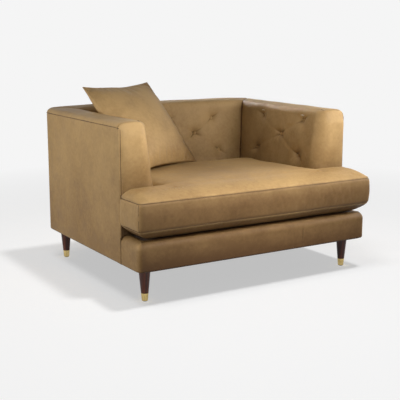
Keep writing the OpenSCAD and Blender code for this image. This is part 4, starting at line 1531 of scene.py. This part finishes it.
@dataclass
class ButtonCaps:
    """Covered buttons with domed tops, sunk in their dimples."""

    form: ChairForm = FORM
    radius: float = 0.008
    dome: float = 0.0034
    seat_depth: float = 0.0185
    rings: int = 6
    sides: int = 20

    def _cap(self, place: Vector, turn: Euler) -> tuple[np.ndarray, list[list[int]]]:
        """Make one button.

        Args:
            place: Middle of its base.
            turn: Turn from +Z to the way it faces.

        Returns:
            Points and faces.
        """
        angles = quarter(self.rings, first=False)
        rings = [(self.radius * math.sin(a), self.dome * math.cos(a)) for a in angles] + [(self.radius * 0.9, -0.003)]
        points, faces = disc(rings, self.sides, self.dome)
        faces.append([1 + self.rings * self.sides + k for k in reversed(range(self.sides))])
        matrix = Matrix.Translation(place) @ turn.to_matrix().to_4x4()
        return np.array([tuple(matrix @ Vector(p)) for p in points]), faces

    def _set(self, name: str, spots: Sequence[tuple[Vector, Euler]], leather: Material, node: str) -> Object:
        """Make all the buttons of a face set as one piece.

        Args:
            name: The piece's name.
            spots: Places and turns.
            leather: The leather.
            node: The frame node that they stand for.

        Returns:
            The dressed object.
        """
        all_points: list[np.ndarray] = []
        all_faces: list[list[int]] = []
        for place, turn in spots:
            points, faces = self._cap(place, turn)
            start = len(points) * len(all_points)
            all_points.append(points)
            all_faces += [[i + start for i in face] for face in faces]
        piece = make_mesh(name, np.concatenate(all_points), all_faces)
        return dress(piece, leather, "leather", "chair", node)

    def build(self, leather: Material) -> list[Object]:
        """Make the arms' and the back's buttons.

        Args:
            leather: The leather.

        Returns:
            The two pieces.
        """
        f = self.form
        arms, backs = [], []
        for y, z in ARM_TUFTS.spots:
            for side in Side:
                x = side.value * (f.arm_face(z) + self.seat_depth)
                tilt = -side.value * (math.pi / 2 - math.atan(f.arm_lean))
                arms.append((Vector((x, y, z)), Euler((0.0, tilt, 0.0))))
        for x, z in BACK_TUFTS.spots:
            tilt = math.pi / 2 - math.atan(f.back_lean)
            backs.append((Vector((x, f.back_face(z) + self.seat_depth, z)), Euler((tilt, 0.0, 0.0))))
        return [
            self._set("arm_button_caps", arms, leather, "arm_buttons"),
            self._set("back_button_caps", backs, leather, "back_buttons"),
        ]


# Cushions


@dataclass
class SeatCushion:
    """The T-shaped seat cushion: crowned top, boxing with its seams, and rounded underside."""

    form: ChairForm = FORM
    boxing_z: float = 0.330
    side_overhang: float = 0.007
    front_overhang: float = 0.020
    gap: float = 0.003
    back_gap: float = 0.012
    corner_r: float = 0.020
    least_r: float = 0.002
    swell: float = 0.006
    crown: float = 0.042
    crown_run: float = 0.110
    side_run: float = 0.052
    arm_run: float = 0.032
    back_run: float = 0.150
    crown_power: float = 0.6
    belly_run: float = 0.088
    wing_drop: float = 0.12
    seam_dip: float = 0.0042
    pucker: float = 0.0014
    rear_fall: float = 0.10
    side_fall: float = 0.20
    pressure: float = 3.0
    spare: float = 0.004
    puff_most: float = 0.0032
    seam_line_r: float = 0.0014
    corner_seam_turn: float = 55.0
    boxing_shade: float = 0.92
    edge_shares: tuple[float, ...] = (0.8, 0.66, 0.54, 0.43, 0.34, 0.26, 0.19, 0.135, 0.09, 0.06, 0.042, 0.030)
    belly_shares: tuple[float, ...] = (0.03, 0.06, 0.10, 0.16, 0.25, 0.37, 0.5, 0.65, 0.82, 1.0)
    even_size: float = 0.008
    hold_w: float = 0.012
    join_half: float = 0.44
    join_line_r: float = 0.0009

    @property
    def rear_y(self) -> float:
        """Y of the cushion's rear boxing."""
        return self.form.back_face(self.boxing_z) - self.back_gap

    @property
    def wing_front(self) -> float:
        """Y of the cushion's front seam."""
        return self.form.border_y - self.front_overhang

    @property
    def wing_rear(self) -> float:
        """Y of the wings' rear seams."""
        return self.form.arm_y - self.gap

    @property
    def middle_y(self) -> float:
        """Y that the rings shrink towards."""
        return (self.wing_front + self.wing_rear) / 2

    def outline(self, z: float, inset: float) -> np.ndarray:
        """Give the T at a height, drawn in by an inset.

        Args:
            z: Height, which sets how far the arms stand apart.
            inset: Distance in from the seam.

        Returns:
            Places in X and Y, once round.
        """
        f = self.form
        r = max(self.corner_r - inset, self.least_r)
        d = max(inset, 0.0)
        xw = f.half_w + self.side_overhang - inset
        xs = f.arm_face(min(z, f.seat_z)) - self.gap - d
        yf, yb, yr = self.wing_front + inset, self.wing_rear - d, self.rear_y - d
        turn = quarter(9)
        half = np.concatenate([
            places(np.linspace(0.0, xw - r, 90)[:-1], yf),
            places(xw - r + r * np.sin(turn), yf + r - r * np.cos(turn)),
            places(xw, np.linspace(yf + r, yb - r, 12)[1:-1]),
            places(xw - r + r * np.cos(turn), yb - r + r * np.sin(turn)),
            places(np.linspace(xw - r, xs, 14)[1:], yb),
            places(xs, np.linspace(yb, yr - r, 70)[1:-1]),
            places(xs - r + r * np.cos(turn), yr - r + r * np.sin(turn)),
            places(np.linspace(xs - r, 0.0, 60)[1:], yr),
        ])
        return np.concatenate([half, half[1:-1][::-1] * np.array([-1.0, 1.0])])

    def _rise(self, reach: np.ndarray, run: float) -> np.ndarray:
        """Share of the crown's height at a distance in from a seam."""
        return np.sin(np.pi / 2 * np.clip(reach / run, 0.0, 1.0)) ** self.crown_power

    def top_z(self, plan: np.ndarray) -> np.ndarray:
        """Height of the crowned top over places of the plan.

        Args:
            plan: Places in X and Y.

        Returns:
            The heights.
        """
        f = self.form
        x, y = np.abs(plan[..., 0]), plan[..., 1]
        wing_x = f.half_w + self.side_overhang
        beside = np.maximum(f.arm_face(f.seat_z) - self.gap - x, 0.0)
        arm = np.hypot(beside, np.maximum(self.wing_rear - y, 0.0))
        rise = (
            self._rise(y - self.wing_front, self.crown_run) * self._rise(wing_x - x, self.side_run)
            * self._rise(arm, self.arm_run) * self._rise(self.rear_y - y, self.back_run)
        )
        fall = self.rear_fall + self.side_fall * (x / f.arm_face(f.seat_z)) ** 2
        level = (1 - self.wing_drop * (x / wing_x) ** 4) * (1 - fall * fade(y, f.arm_y, f.arm_y + 0.45))
        return f.seat_z + self.crown * level * rise

    def _puckers(self, plan: np.ndarray, seed: float) -> np.ndarray:
        """Give the gathers that the seam pulls, as a value from -1 to 1 along a ring.

        Args:
            plan: The ring's places.
            seed: Shift of the noise.

        Returns:
            The value at each place.
        """
        return np.array([noise.noise(Vector((x * 26.0 + seed, y * 26.0, seed))) for x, y in plan])

    def _shrunk(self, plan: np.ndarray, share: float) -> np.ndarray:
        """Draw a ring in to a share of its size, towards the cushion's middle."""
        return places(plan[:, 0] * share, mix(self.middle_y, plan[:, 1], share))

    def _bulge(self, share: np.ndarray | float) -> np.ndarray | float:
        """How far the boxing swells out at a share of its height."""
        return self.swell * np.sin(np.pi * share) ** 0.7

    def _rings(self) -> list[np.ndarray]:
        """Lay out the rings from the middle of the top to the middle of the underside.

        Returns:
            Rings of points.
        """
        seat_z, low_z = self.form.seat_z, self.boxing_z
        inner = self.outline(seat_z, self.crown_run * self.edge_shares[0])
        rings: list[np.ndarray] = []
        for share in np.linspace(0.0, 1.0, 40)[:-1]:
            plan = self._shrunk(inner, share)
            rings.append(lifted(plan, self.top_z(plan)))
        for share in self.edge_shares:
            inset = self.crown_run * share
            plan = self.outline(seat_z, inset)
            gathers = self.pucker * self._puckers(plan, 4.0) * math.exp(-inset / 0.02)
            rings.append(lifted(plan, self.top_z(plan) + gathers))
        # Painted shade: the boxing's front darker, more so low down, and the underside dark under the cushion.
        dark = front_shade(self.outline(seat_z, 0.0), self.boxing_shade)
        centre = np.array([0.0, self.middle_y])
        box = [(1.0, self.seam_dip), (0.984, 0.0022), (0.966, 0.0)]
        box += [(share, -self._bulge(share)) for share in np.linspace(0.94, 0.06, 15)]
        box += [(0.034, 0.0), (0.016, 0.0022), (0.0, self.seam_dip)]
        for share, inset in box:
            z = low_z + (seat_z - low_z) * share
            plan = self.outline(z, inset)
            edge = math.exp(-min(share, 1 - share) / 0.16)
            pull = self.pucker * 1.5 * edge * self._puckers(plan, 11.0 + round(share))
            out = plan - centre
            plan = plan + out / np.maximum(np.linalg.norm(out, axis=1)[:, None], 1e-6) * pull[:, None]
            rings.append(lifted(plan, z, dark * mix(1.0, 0.7, fade(share, 0.5, 1.0))))
        floor = self.form.base_top + 0.0006
        for share in self.belly_shares:
            plan = self.outline(low_z, self.belly_run * share)
            # Painted shade on the rounded underside, lighter at the lip just under the seam.
            lip = mix(0.1, np.maximum(dark, 0.9), fade(share, 0.04, 0.16))
            rings.append(lifted(plan, mix(low_z, floor, math.sin(math.pi / 2 * share)), lip))
        under = self.outline(low_z, self.belly_run)
        for share in np.linspace(1.0, 0.0, 8)[1:]:
            rings.append(lifted(self._shrunk(under, share), floor, np.maximum(dark, 0.5)))
        return rings

    def _fill(self, piece: Object) -> None:
        """Puff the cover between its seams, on an even copy, and carry the moves over.

        Args:
            piece: The cover.
        """
        copy = bpy.data.objects.new("seat_puff", piece.data.copy())
        bpy.context.scene.collection.objects.link(copy)
        remesh = copy.modifiers.new("even", "REMESH")
        remesh.mode = "VOXEL"
        remesh.voxel_size = self.even_size
        even = bpy.data.meshes.new_from_object(copy.evaluated_get(bpy.context.evaluated_depsgraph_get()))
        copy.modifiers.clear()
        copy.data = even
        rest = read_points(even)
        lines = [places(*self.outline(z, 0.0).T, z) for z in (self.form.seat_z, self.boxing_z)]
        seams = tree_of(np.concatenate(lines))
        sewn = np.array([seams.find(place)[2] < self.hold_w for place in rest])
        beside = (rest[:, 1] > self.form.arm_y - self.hold_w) & (rest[:, 2] < self.form.seat_z)
        sewn |= beside | (rest[:, 2] < self.form.base_top + 0.006)
        moves = capped(puff(copy, sewn, self.pressure, self.spare), self.puff_most)
        tree = tree_of(rest)
        points = read_points(piece.data)
        for index, place in enumerate(points):
            near = tree.find_n(place, 5)
            weights = np.array([1.0 / (d * d + 1e-6) for _, _, d in near])
            points[index] += weights @ moves[[i for _, i, _ in near]] / weights.sum()
        write_points(piece.data, points)
        bpy.data.objects.remove(copy)

    def build(self, leather: Material, seam_shadow_hide: Material) -> list[Object]:
        """Make the cushion's leather and its seams.

        Args:
            leather: The leather.
            seam_shadow_hide: Dark leather laid in a seam as its painted shade.

        Returns:
            The dressed objects.
        """
        piece = sheet("seat_cushion_leather", [np.stack([np.concatenate([ring, ring[:1]]) for ring in self._rings()])])
        self._fill(piece)
        soften(piece, 0.0022, 0.16, 31.0)
        dress(piece, leather, "leather", "seat_cushion", "seat_cushion_cover")
        bpy.context.view_layer.update()
        join_y = self.form.arm_y - 0.004
        xs = np.linspace(-self.join_half, self.join_half, 120)
        path = places(xs, join_y, self._surface_z(piece, xs, join_y) - 0.0004)
        seam = bead("seat_join_seam", path, self.join_line_r)
        dress(seam, leather, "leather", "seat_cushion")
        return [piece, seam, *self._seam_lines(seam_shadow_hide)]

    def _seam_lines(self, seam_shadow_hide: Material) -> list[Object]:
        """Lay dark lines as painted shade in the boxing's seams, round its edges and down its front corners.

        Args:
            seam_shadow_hide: Dark leather laid in a seam as its painted shade.

        Returns:
            The dressed objects.
        """
        lines = []
        for name, z in (("top", self.form.seat_z), ("bottom", self.boxing_z)):
            path = places(*self.outline(z, self.seam_dip * 0.72).T, z)
            lines.append(bead(f"cushion_{name}_seam", path, self.seam_line_r, closed=True))
        share = np.linspace(0.02, 0.98, 40)
        zs = mix(self.boxing_z, self.form.seat_z, share)
        r = self.corner_r
        reach = r + (self._bulge(share) - self.seam_line_r * 0.4)
        turn = math.radians(self.corner_seam_turn)
        x = self.form.half_w + self.side_overhang - r + reach * math.sin(turn)
        y = self.wing_front + r - reach * math.cos(turn)
        for side in Side:
            lines.append(bead(f"cushion_corner_seam_{side.word}", places(x, y, zs) * side.flip, self.seam_line_r))
        for line in lines:
            dress(line, seam_shadow_hide, "leather", "seat_cushion")
        return lines

    def _surface_z(self, piece: Object, xs: np.ndarray, y: float) -> np.ndarray:
        """Find the top's height along a line.

        Args:
            piece: The cushion.
            xs: Places along X.
            y: The line's Y.

        Returns:
            Heights on the surface.
        """
        heights = []
        for x in xs:
            hit, place, _, _ = piece.ray_cast(Vector((x, y, 1.0)), Vector((0.0, 0.0, -1.0)))
            heights.append(place.z if hit else self.form.seat_z + self.crown)
        return np.array(heights)


@dataclass
class ScatterCushion:
    """The loose square cushion that leans in the left corner."""

    form: ChairForm = FORM
    side: float = 0.500
    thickness: float = 0.130
    edge: float = 0.004
    pull: float = 0.022
    corner_slack: float = 0.016
    power: float = 0.55
    pressure: float = 4.0
    spare: float = 0.03
    puff_most: float = 0.008
    steps: int = 84
    edge_crowd: float = 0.92
    gather: float = 0.0028
    right_shade: float = 0.75
    foot: tuple[float, float, float] = (-0.1794, 0.0628, 0.4863)
    turn: float = 24.34
    lean: float = 52.33

    def _grids(self) -> list[np.ndarray]:
        """Shape the two sides and the thin edges between them, flat on the XY plane.

        Returns:
            Grids that share their edges.
        """
        crowd = self.edge_crowd
        line = np.sin(np.linspace(-np.pi / 2, np.pi / 2, self.steps + 1) * crowd) / math.sin(np.pi / 2 * crowd)
        u, v = np.meshgrid(line, line, indexing="ij")
        bow_u, bow_v = 1 - u * u, 1 - v * v
        half = self.side / 2
        slack = ((1 + u) / 2) ** 3 * ((1 - v) / 2) ** 1.5
        x = (half - self.pull * bow_v * np.abs(u)) * u
        x += self.corner_slack * slack + self.pull * 0.7 * bow_v * ((1 + u) / 2) ** 2
        y = (half - self.pull * bow_u * np.abs(v)) * v - 0.3 * self.corner_slack * slack
        height = (np.clip(bow_u * bow_v, 0, 1) ** self.power) * (self.thickness - self.edge) / 2 + self.edge / 2
        wave = np.vectorize(lambda a, b: noise.noise(Vector((a * 14.0, b * 14.0, 2.0))))(x, y)
        rim = np.exp(-np.minimum(1 - np.abs(u), 1 - np.abs(v)) / 0.16)
        height = height + self.gather * wave * rim * np.clip(bow_u * bow_v * 9, 0, 1)
        # Painted shade along the cushion's right edge.
        away = self.right_shade * fade(u, 0.45, 1.0)
        upper, lower = places(x, y, height, away), places(x, y, -height, away)
        grids = [upper, lower[:, ::-1]]
        for cut in ((0,), (-1,), (slice(None), 0), (slice(None), -1)):
            middle = (upper[cut] + lower[cut]) / 2
            middle[:, :3] -= middle[:, :3] / np.linalg.norm(middle[:, :3], axis=1)[:, None] * 0.0012
            grids.append(np.stack([upper[cut], middle, lower[cut]]))
        return grids

    def _fill(self, piece: Object) -> None:
        """Puff the cover between its seams.

        Args:
            piece: The cover, flat on the XY plane.
        """
        half, flat = self.side / 2, read_points(piece.data)
        reach = half - self.pull * (1 - (np.abs(flat[:, [1, 0]]) / half) ** 2) - np.abs(flat[:, :2])
        sewn = (reach.min(axis=1) < self.edge) | (np.abs(flat[:, 2]) < self.edge)
        write_points(piece.data, flat + capped(puff(piece, sewn, self.pressure, self.spare), self.puff_most))

    def build(self, leather: Material) -> Object:
        """Make the cushion.

        Args:
            leather: The leather.

        Returns:
            The dressed object.
        """
        piece = sheet("scatter_cushion_leather", self._grids())
        self._fill(piece)
        soften(piece, 0.003, 0.11, 44.0)
        piece.data.transform(
            Matrix.Translation(self.foot)
            @ Matrix.Rotation(math.radians(self.turn), 4, "Z")
            @ Matrix.Rotation(math.radians(self.lean), 4, "X")
            @ Matrix.Translation((0.0, self.side / 2, 0.0))
        )
        dress(piece, leather, "leather", "scatter_cushion", "scatter_cushion_cover")
        return piece


# Seams, frame and studio


@dataclass
class SeamRows:
    """Topstitching beside the lapped seams, and dark lines laid in the seams as their painted shade."""

    form: ChairForm = FORM
    lap: float = 0.0125
    line_r: float = 0.0016
    base_join_x: float = 0.24

    def lines(self, seam_shadow_hide: Material) -> list[Object]:
        """Lay dark lines of painted shade in the outer top seam, the arms' front corner seams and the joins in the
        base's sides and front.

        Args:
            seam_shadow_hide: Dark leather laid in a seam as its painted shade.

        Returns:
            The dressed objects.
        """
        f, r = self.form, self.form.corner_r
        turn = quarter(9)
        half = np.concatenate([
            places(f.half_w, np.linspace(f.arm_y, f.rear_y - r, 90)),
            places(f.half_w - r + r * np.cos(turn), f.rear_y - r + r * np.sin(turn))[1:],
            places(np.linspace(f.half_w - r, 0.0, 60), f.rear_y)[1:],
        ])
        inset = half - np.array([0.0006, 0.0]) * (half[:, :1] > f.half_w - 0.001)
        top = places(*inset.T, f.seam_z + 0.0002)
        corner_z = np.linspace(f.base_bottom + 0.004, f.seam_z - 0.004, 60)
        corner = places(f.half_w - 0.0058, f.arm_y - 0.0008, corner_z)
        side_z = np.linspace(f.base_bottom + 0.003, f.base_top - 0.010, 30)
        base_side = places(f.half_w + 0.0002, f.arm_y - 0.0004, side_z)
        pieces = []
        for side in Side:
            pieces += [
                bead(f"outer_top_seam_{side.word}", f.worn(top, side) * side.flip, self.line_r),
                bead(f"front_corner_seam_{side.word}", f.worn(corner, side) * side.flip, self.line_r),
                bead(f"base_side_seam_{side.word}", base_side * side.flip, self.line_r),
            ]
        join_z = np.linspace(f.base_bottom + 0.010, f.base_top - 0.036, 24)
        join = places(self.base_join_x, f.border_y + 0.0002, join_z)
        pieces.append(bead("base_join_seam", join, self.line_r * 0.6))
        for piece in pieces:
            dress(piece, seam_shadow_hide, "leather", "chair")
        return pieces

    def build(self, thread: Material) -> list[Object]:
        """Sew the front edges of the outside panels.

        Args:
            thread: The thread.

        Returns:
            The dressed objects.
        """
        f = self.form
        zs = np.linspace(f.base_bottom + 0.014, f.seam_z - 0.012, 40)
        out = places(0.0, -1.0, np.zeros_like(zs))
        pieces = []
        for side in Side:
            path = places(f.half_w - self.lap, f.arm_y - 0.0016, zs) * side.flip
            piece = stitches(f"front_edge_stitches_{side.word}", path, out)
            pieces.append(dress(piece, thread, "leather", "chair"))
        return pieces


@dataclass
class FramePieces:
    """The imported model's own pieces that stay, in their finishes."""

    materials: dict[str, Material] = field(default_factory=dict)

    def dress(self, frame: dict) -> int:
        """Give every frame node the finish of its slot.


        Returns:
            The number of nodes dressed.
        """
        slots = {entry["node"]: entry["material_slot"] for entry in frame["record"]["subparts"]}
        for node, piece in frame["nodes"].items():
            piece.data.materials.clear()
            piece.data.materials.append(self.materials[slots[node]])
            piece.data.polygons.foreach_set("use_smooth", [True] * len(piece.data.polygons))
            piece.data.set_sharp_from_angle(angle=math.radians(35))
        LOG.info("%d frame nodes have a finish", len(slots))
        return len(slots)


@dataclass(frozen=True)
class Lamp:
    """A soft light: where it hangs, what it faces, its depth, its watts, its width and its spread."""

    name: str
    place: tuple[float, float, float]
    aim: tuple[float, float, float]
    size: float
    power: float
    width: float = 0.0
    spread: float = 180.0

    def hang(self) -> Object:
        """Make the light.

        Returns:
            The light.
        """
        data = bpy.data.lights.new(self.name, "AREA")
        data.shape = "RECTANGLE"
        data.size = max(self.width, self.size)
        data.size_y = self.size
        data.energy = self.power
        data.spread = math.radians(self.spread)
        light = bpy.data.objects.new(self.name, data)
        bpy.context.scene.collection.objects.link(light)
        light.location = self.place
        light.rotation_euler = (Vector(self.aim) - Vector(self.place)).to_track_quat("-Z", "Y").to_euler()
        light.visible_camera = False
        return light


@dataclass
class Studio:
    """A pale floor that fades into the backdrop, soft light and the photograph's camera."""

    backdrop: float = 0.913
    sky: float = 0.07
    floor_tone: float = 0.55
    floor_lift: float = 0.51
    floor_bounce: float = 0.24
    floor_fade: tuple[float, float] = (1.6, 3.4)
    floor_rings: tuple[float, ...] = (1.0, 2.0, 4.0, 9.0)
    camera_at: tuple[float, float, float] = (-2.1974, -3.5572, 1.146)
    camera_turn: tuple[float, float, float] = (78.81, 0.0, -31.437)
    lens: float = 77.07
    floor_lamps: tuple[Lamp, ...] = (
        Lamp("floor_light", (0.9, -1.2, 6.5), (0.0, 0.0, 0.0), 0.6, 190.0),
        Lamp("floor_soft_light", (-1.8, -0.8, 6.0), (0.0, 0.0, 0.0), 2.0, 95.0),
    )
    lamps: tuple[Lamp, ...] = (
        Lamp("front_light", (0.06, -1.25, 1.35), (0.06, -0.5, 0.5), 0.3, 5.1, 1.6, 64.0),
        Lamp("left_arm_light", (-0.7, -1.3, 1.05), (-0.53, -0.32, 0.80), 0.2, 0.11, 0.2, 26.0),
        Lamp("right_arm_light", (0.7, -1.3, 1.05), (0.50, -0.32, 0.76), 0.2, 0.19, 0.2, 28.0),
        Lamp("inner_light", (-1.1, -0.9, 1.5), (0.48, -0.02, 0.62), 0.2, 0.16, 0.2, 26.0),
        Lamp("cushion_light", (-0.45, -1.7, 1.1), (-0.33, 0.12, 0.72), 0.3, 0.27, 0.3, 30.0),
        Lamp("low_light", (-0.1, -2.2, 0.25), (-0.1, -0.5, 0.2), 0.4, 0.9, 0.9, 40.0),
        Lamp("right_front_light", (1.8, -1.8, 1.5), (0.0, -0.2, 0.6), 1.0, 6.0),
        Lamp("right_light", (2.4, -0.8, 1.3), (0.3, -0.2, 0.5), 0.8, 30.0),
        Lamp("left_light", (-2.8, 0.2, 0.8), (-0.6, 0.0, 0.45), 1.0, 36.0),
        Lamp("over_light", (0.0, 0.2, 3.2), (0.0, 0.0, 0.0), 1.2, 2.8),
        Lamp("rear_light", (0.3, 2.8, 0.40), (0.0, 0.5, 0.45), 0.7, 40.0),
        Lamp("sheen_light", (0.6, 2.8, 2.0), (0.25, -0.45, 0.49), 0.7, 1.0, 0.7, 18.0),
    )

    def _seen_rays(self, bench: NodeBench) -> NodeSocket:
        """Add the test for rays that should see the backdrop's tone.

        Args:
            bench: The nodes of the floor or the world.

        Returns:
            A socket that is 1 for camera, glossy and transmission rays.
        """
        rays = bench.add("ShaderNodeLightPath").outputs
        first = bench.math("MAXIMUM", rays["Is Camera Ray"], rays["Is Glossy Ray"])
        return bench.math("MAXIMUM", first, rays["Is Transmission Ray"])

    def floor(self) -> Object:
        """Lay the floor, which shows the backdrop's tone to the camera and keeps the shadow.

        Returns:
            The floor.
        """
        points, faces = disc([(r, 0.0) for r in self.floor_rings], 64, 0.0)
        floor = make_mesh("studio_floor", np.array(points), faces)
        bench = NodeBench(bpy.data.materials.new("studio_floor"))
        matt = bench.add("ShaderNodeBsdfDiffuse", Color=grey(self.floor_tone))
        lift = bench.add("ShaderNodeEmission", Color=grey(1.0), Strength=self.floor_lift)
        glow = bench.add("ShaderNodeEmission", Color=grey(self.backdrop), Strength=1.0)
        dim = bench.add("ShaderNodeBsdfDiffuse", Color=grey(self.floor_bounce))
        radius = bench.add("ShaderNodeVectorMath", {0: bench.place()}, operation="LENGTH").outputs["Value"]
        near, far = self.floor_fade
        share = bench.add("ShaderNodeMapRange", Value=radius, From_Min=near, From_Max=far).outputs["Result"]
        lifted_matt = bench.add("ShaderNodeAddShader", {0: matt.outputs[0], 1: lift.outputs[0]})
        seen = bench.add("ShaderNodeMixShader", {0: share, 1: lifted_matt.outputs[0], 2: glow.outputs[0]})
        bench.show(bench.add(
            "ShaderNodeMixShader", {0: self._seen_rays(bench), 1: dim.outputs[0], 2: seen.outputs[0]}
        ))
        floor.data.materials.append(bench.owner)
        return floor

    def world(self) -> None:
        """Light the scene evenly, and show the backdrop's tone to the camera."""
        bench = NodeBench(bpy.data.worlds.new("studio"), "ShaderNodeOutputWorld")
        sky = bench.add("ShaderNodeBackground", Color=grey(1.0), Strength=self.sky)
        plain = bench.add("ShaderNodeBackground", Color=grey(self.backdrop))
        bench.show(bench.add(
            "ShaderNodeMixShader", {0: self._seen_rays(bench), 1: sky.outputs[0], 2: plain.outputs[0]}
        ))
        bpy.context.scene.world = bench.owner

    def fall_on(self, light: Object, word: str, pieces: Sequence[Object]) -> None:
        """Let a light fall on some pieces only.

        Args:
            light: The light.
            word: Name of the pieces' collection.
            pieces: The pieces.
        """
        lit = bpy.data.collections.get(word) or bpy.data.collections.new(word)
        for piece in pieces:
            if piece.name not in lit.objects:
                lit.objects.link(piece)
        light.light_linking.receiver_collection = lit

    def camera(self) -> Object:
        """Set the photograph's camera.

        Returns:
            The camera.
        """
        data = bpy.data.cameras.new("photo_camera")
        data.lens = self.lens
        data.sensor_width = 36.0
        camera = bpy.data.objects.new("photo_camera", data)
        bpy.context.scene.collection.objects.link(camera)
        camera.location = self.camera_at
        camera.rotation_euler = Euler([math.radians(a) for a in self.camera_turn])
        bpy.context.scene.camera = camera
        return camera

    def build(self) -> None:
        """Set up floor, world, lights, camera and view."""
        scene = bpy.context.scene
        chair = [piece for piece in scene.objects if piece.type == "MESH"]
        floor = self.floor()
        self.world()
        for lamps, word, pieces in ((self.lamps, "chair_pieces", chair), (self.floor_lamps, "floor_pieces", [floor])):
            for lamp in lamps:
                self.fall_on(lamp.hang(), word, pieces)
        self.camera()
        scene.view_settings.view_transform = "Standard"


def grey(value: float) -> tuple[float, ...]:
    """Give a grey as a node's colour."""
    return (value,) * 3 + (1.0,)


def corners(bounds: tuple[Vector, Vector]) -> list[list[float]]:
    """Turn a pair of corners into plain lists."""
    return [[float(value) for value in corner] for corner in bounds]


def main() -> None:
    """Load the frame, build and dress every piece, and light the scene."""
    logging.basicConfig(level=logging.INFO, format="%(name)s: %(message)s")
    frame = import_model()
    materials = {slot: finish.make() for slot, finish in FINISHES.items()}
    thread, seam_shadow_hide = THREAD.make(), SEAM_SHADOW_HIDE.make()
    FramePieces(materials).dress(frame)
    leather = materials["leather"]
    outside, base, seams = OutsideLeather(), BaseLeather(), SeamRows()
    for side in Side:
        ArmLeather(side).build(leather, seam_shadow_hide)
    BackLeather().build(leather)
    for side in Side:
        outside.arm(side, leather)
    outside.back(leather)
    base.border(leather)
    base.deck(materials["deck_cloth"])
    ButtonCaps().build(leather)
    SeatCushion().build(leather, seam_shadow_hide)
    ScatterCushion().build(leather)
    seams.build(thread)
    seams.lines(seam_shadow_hide)
    Studio().build()


if __name__ == "__main__":
    main()
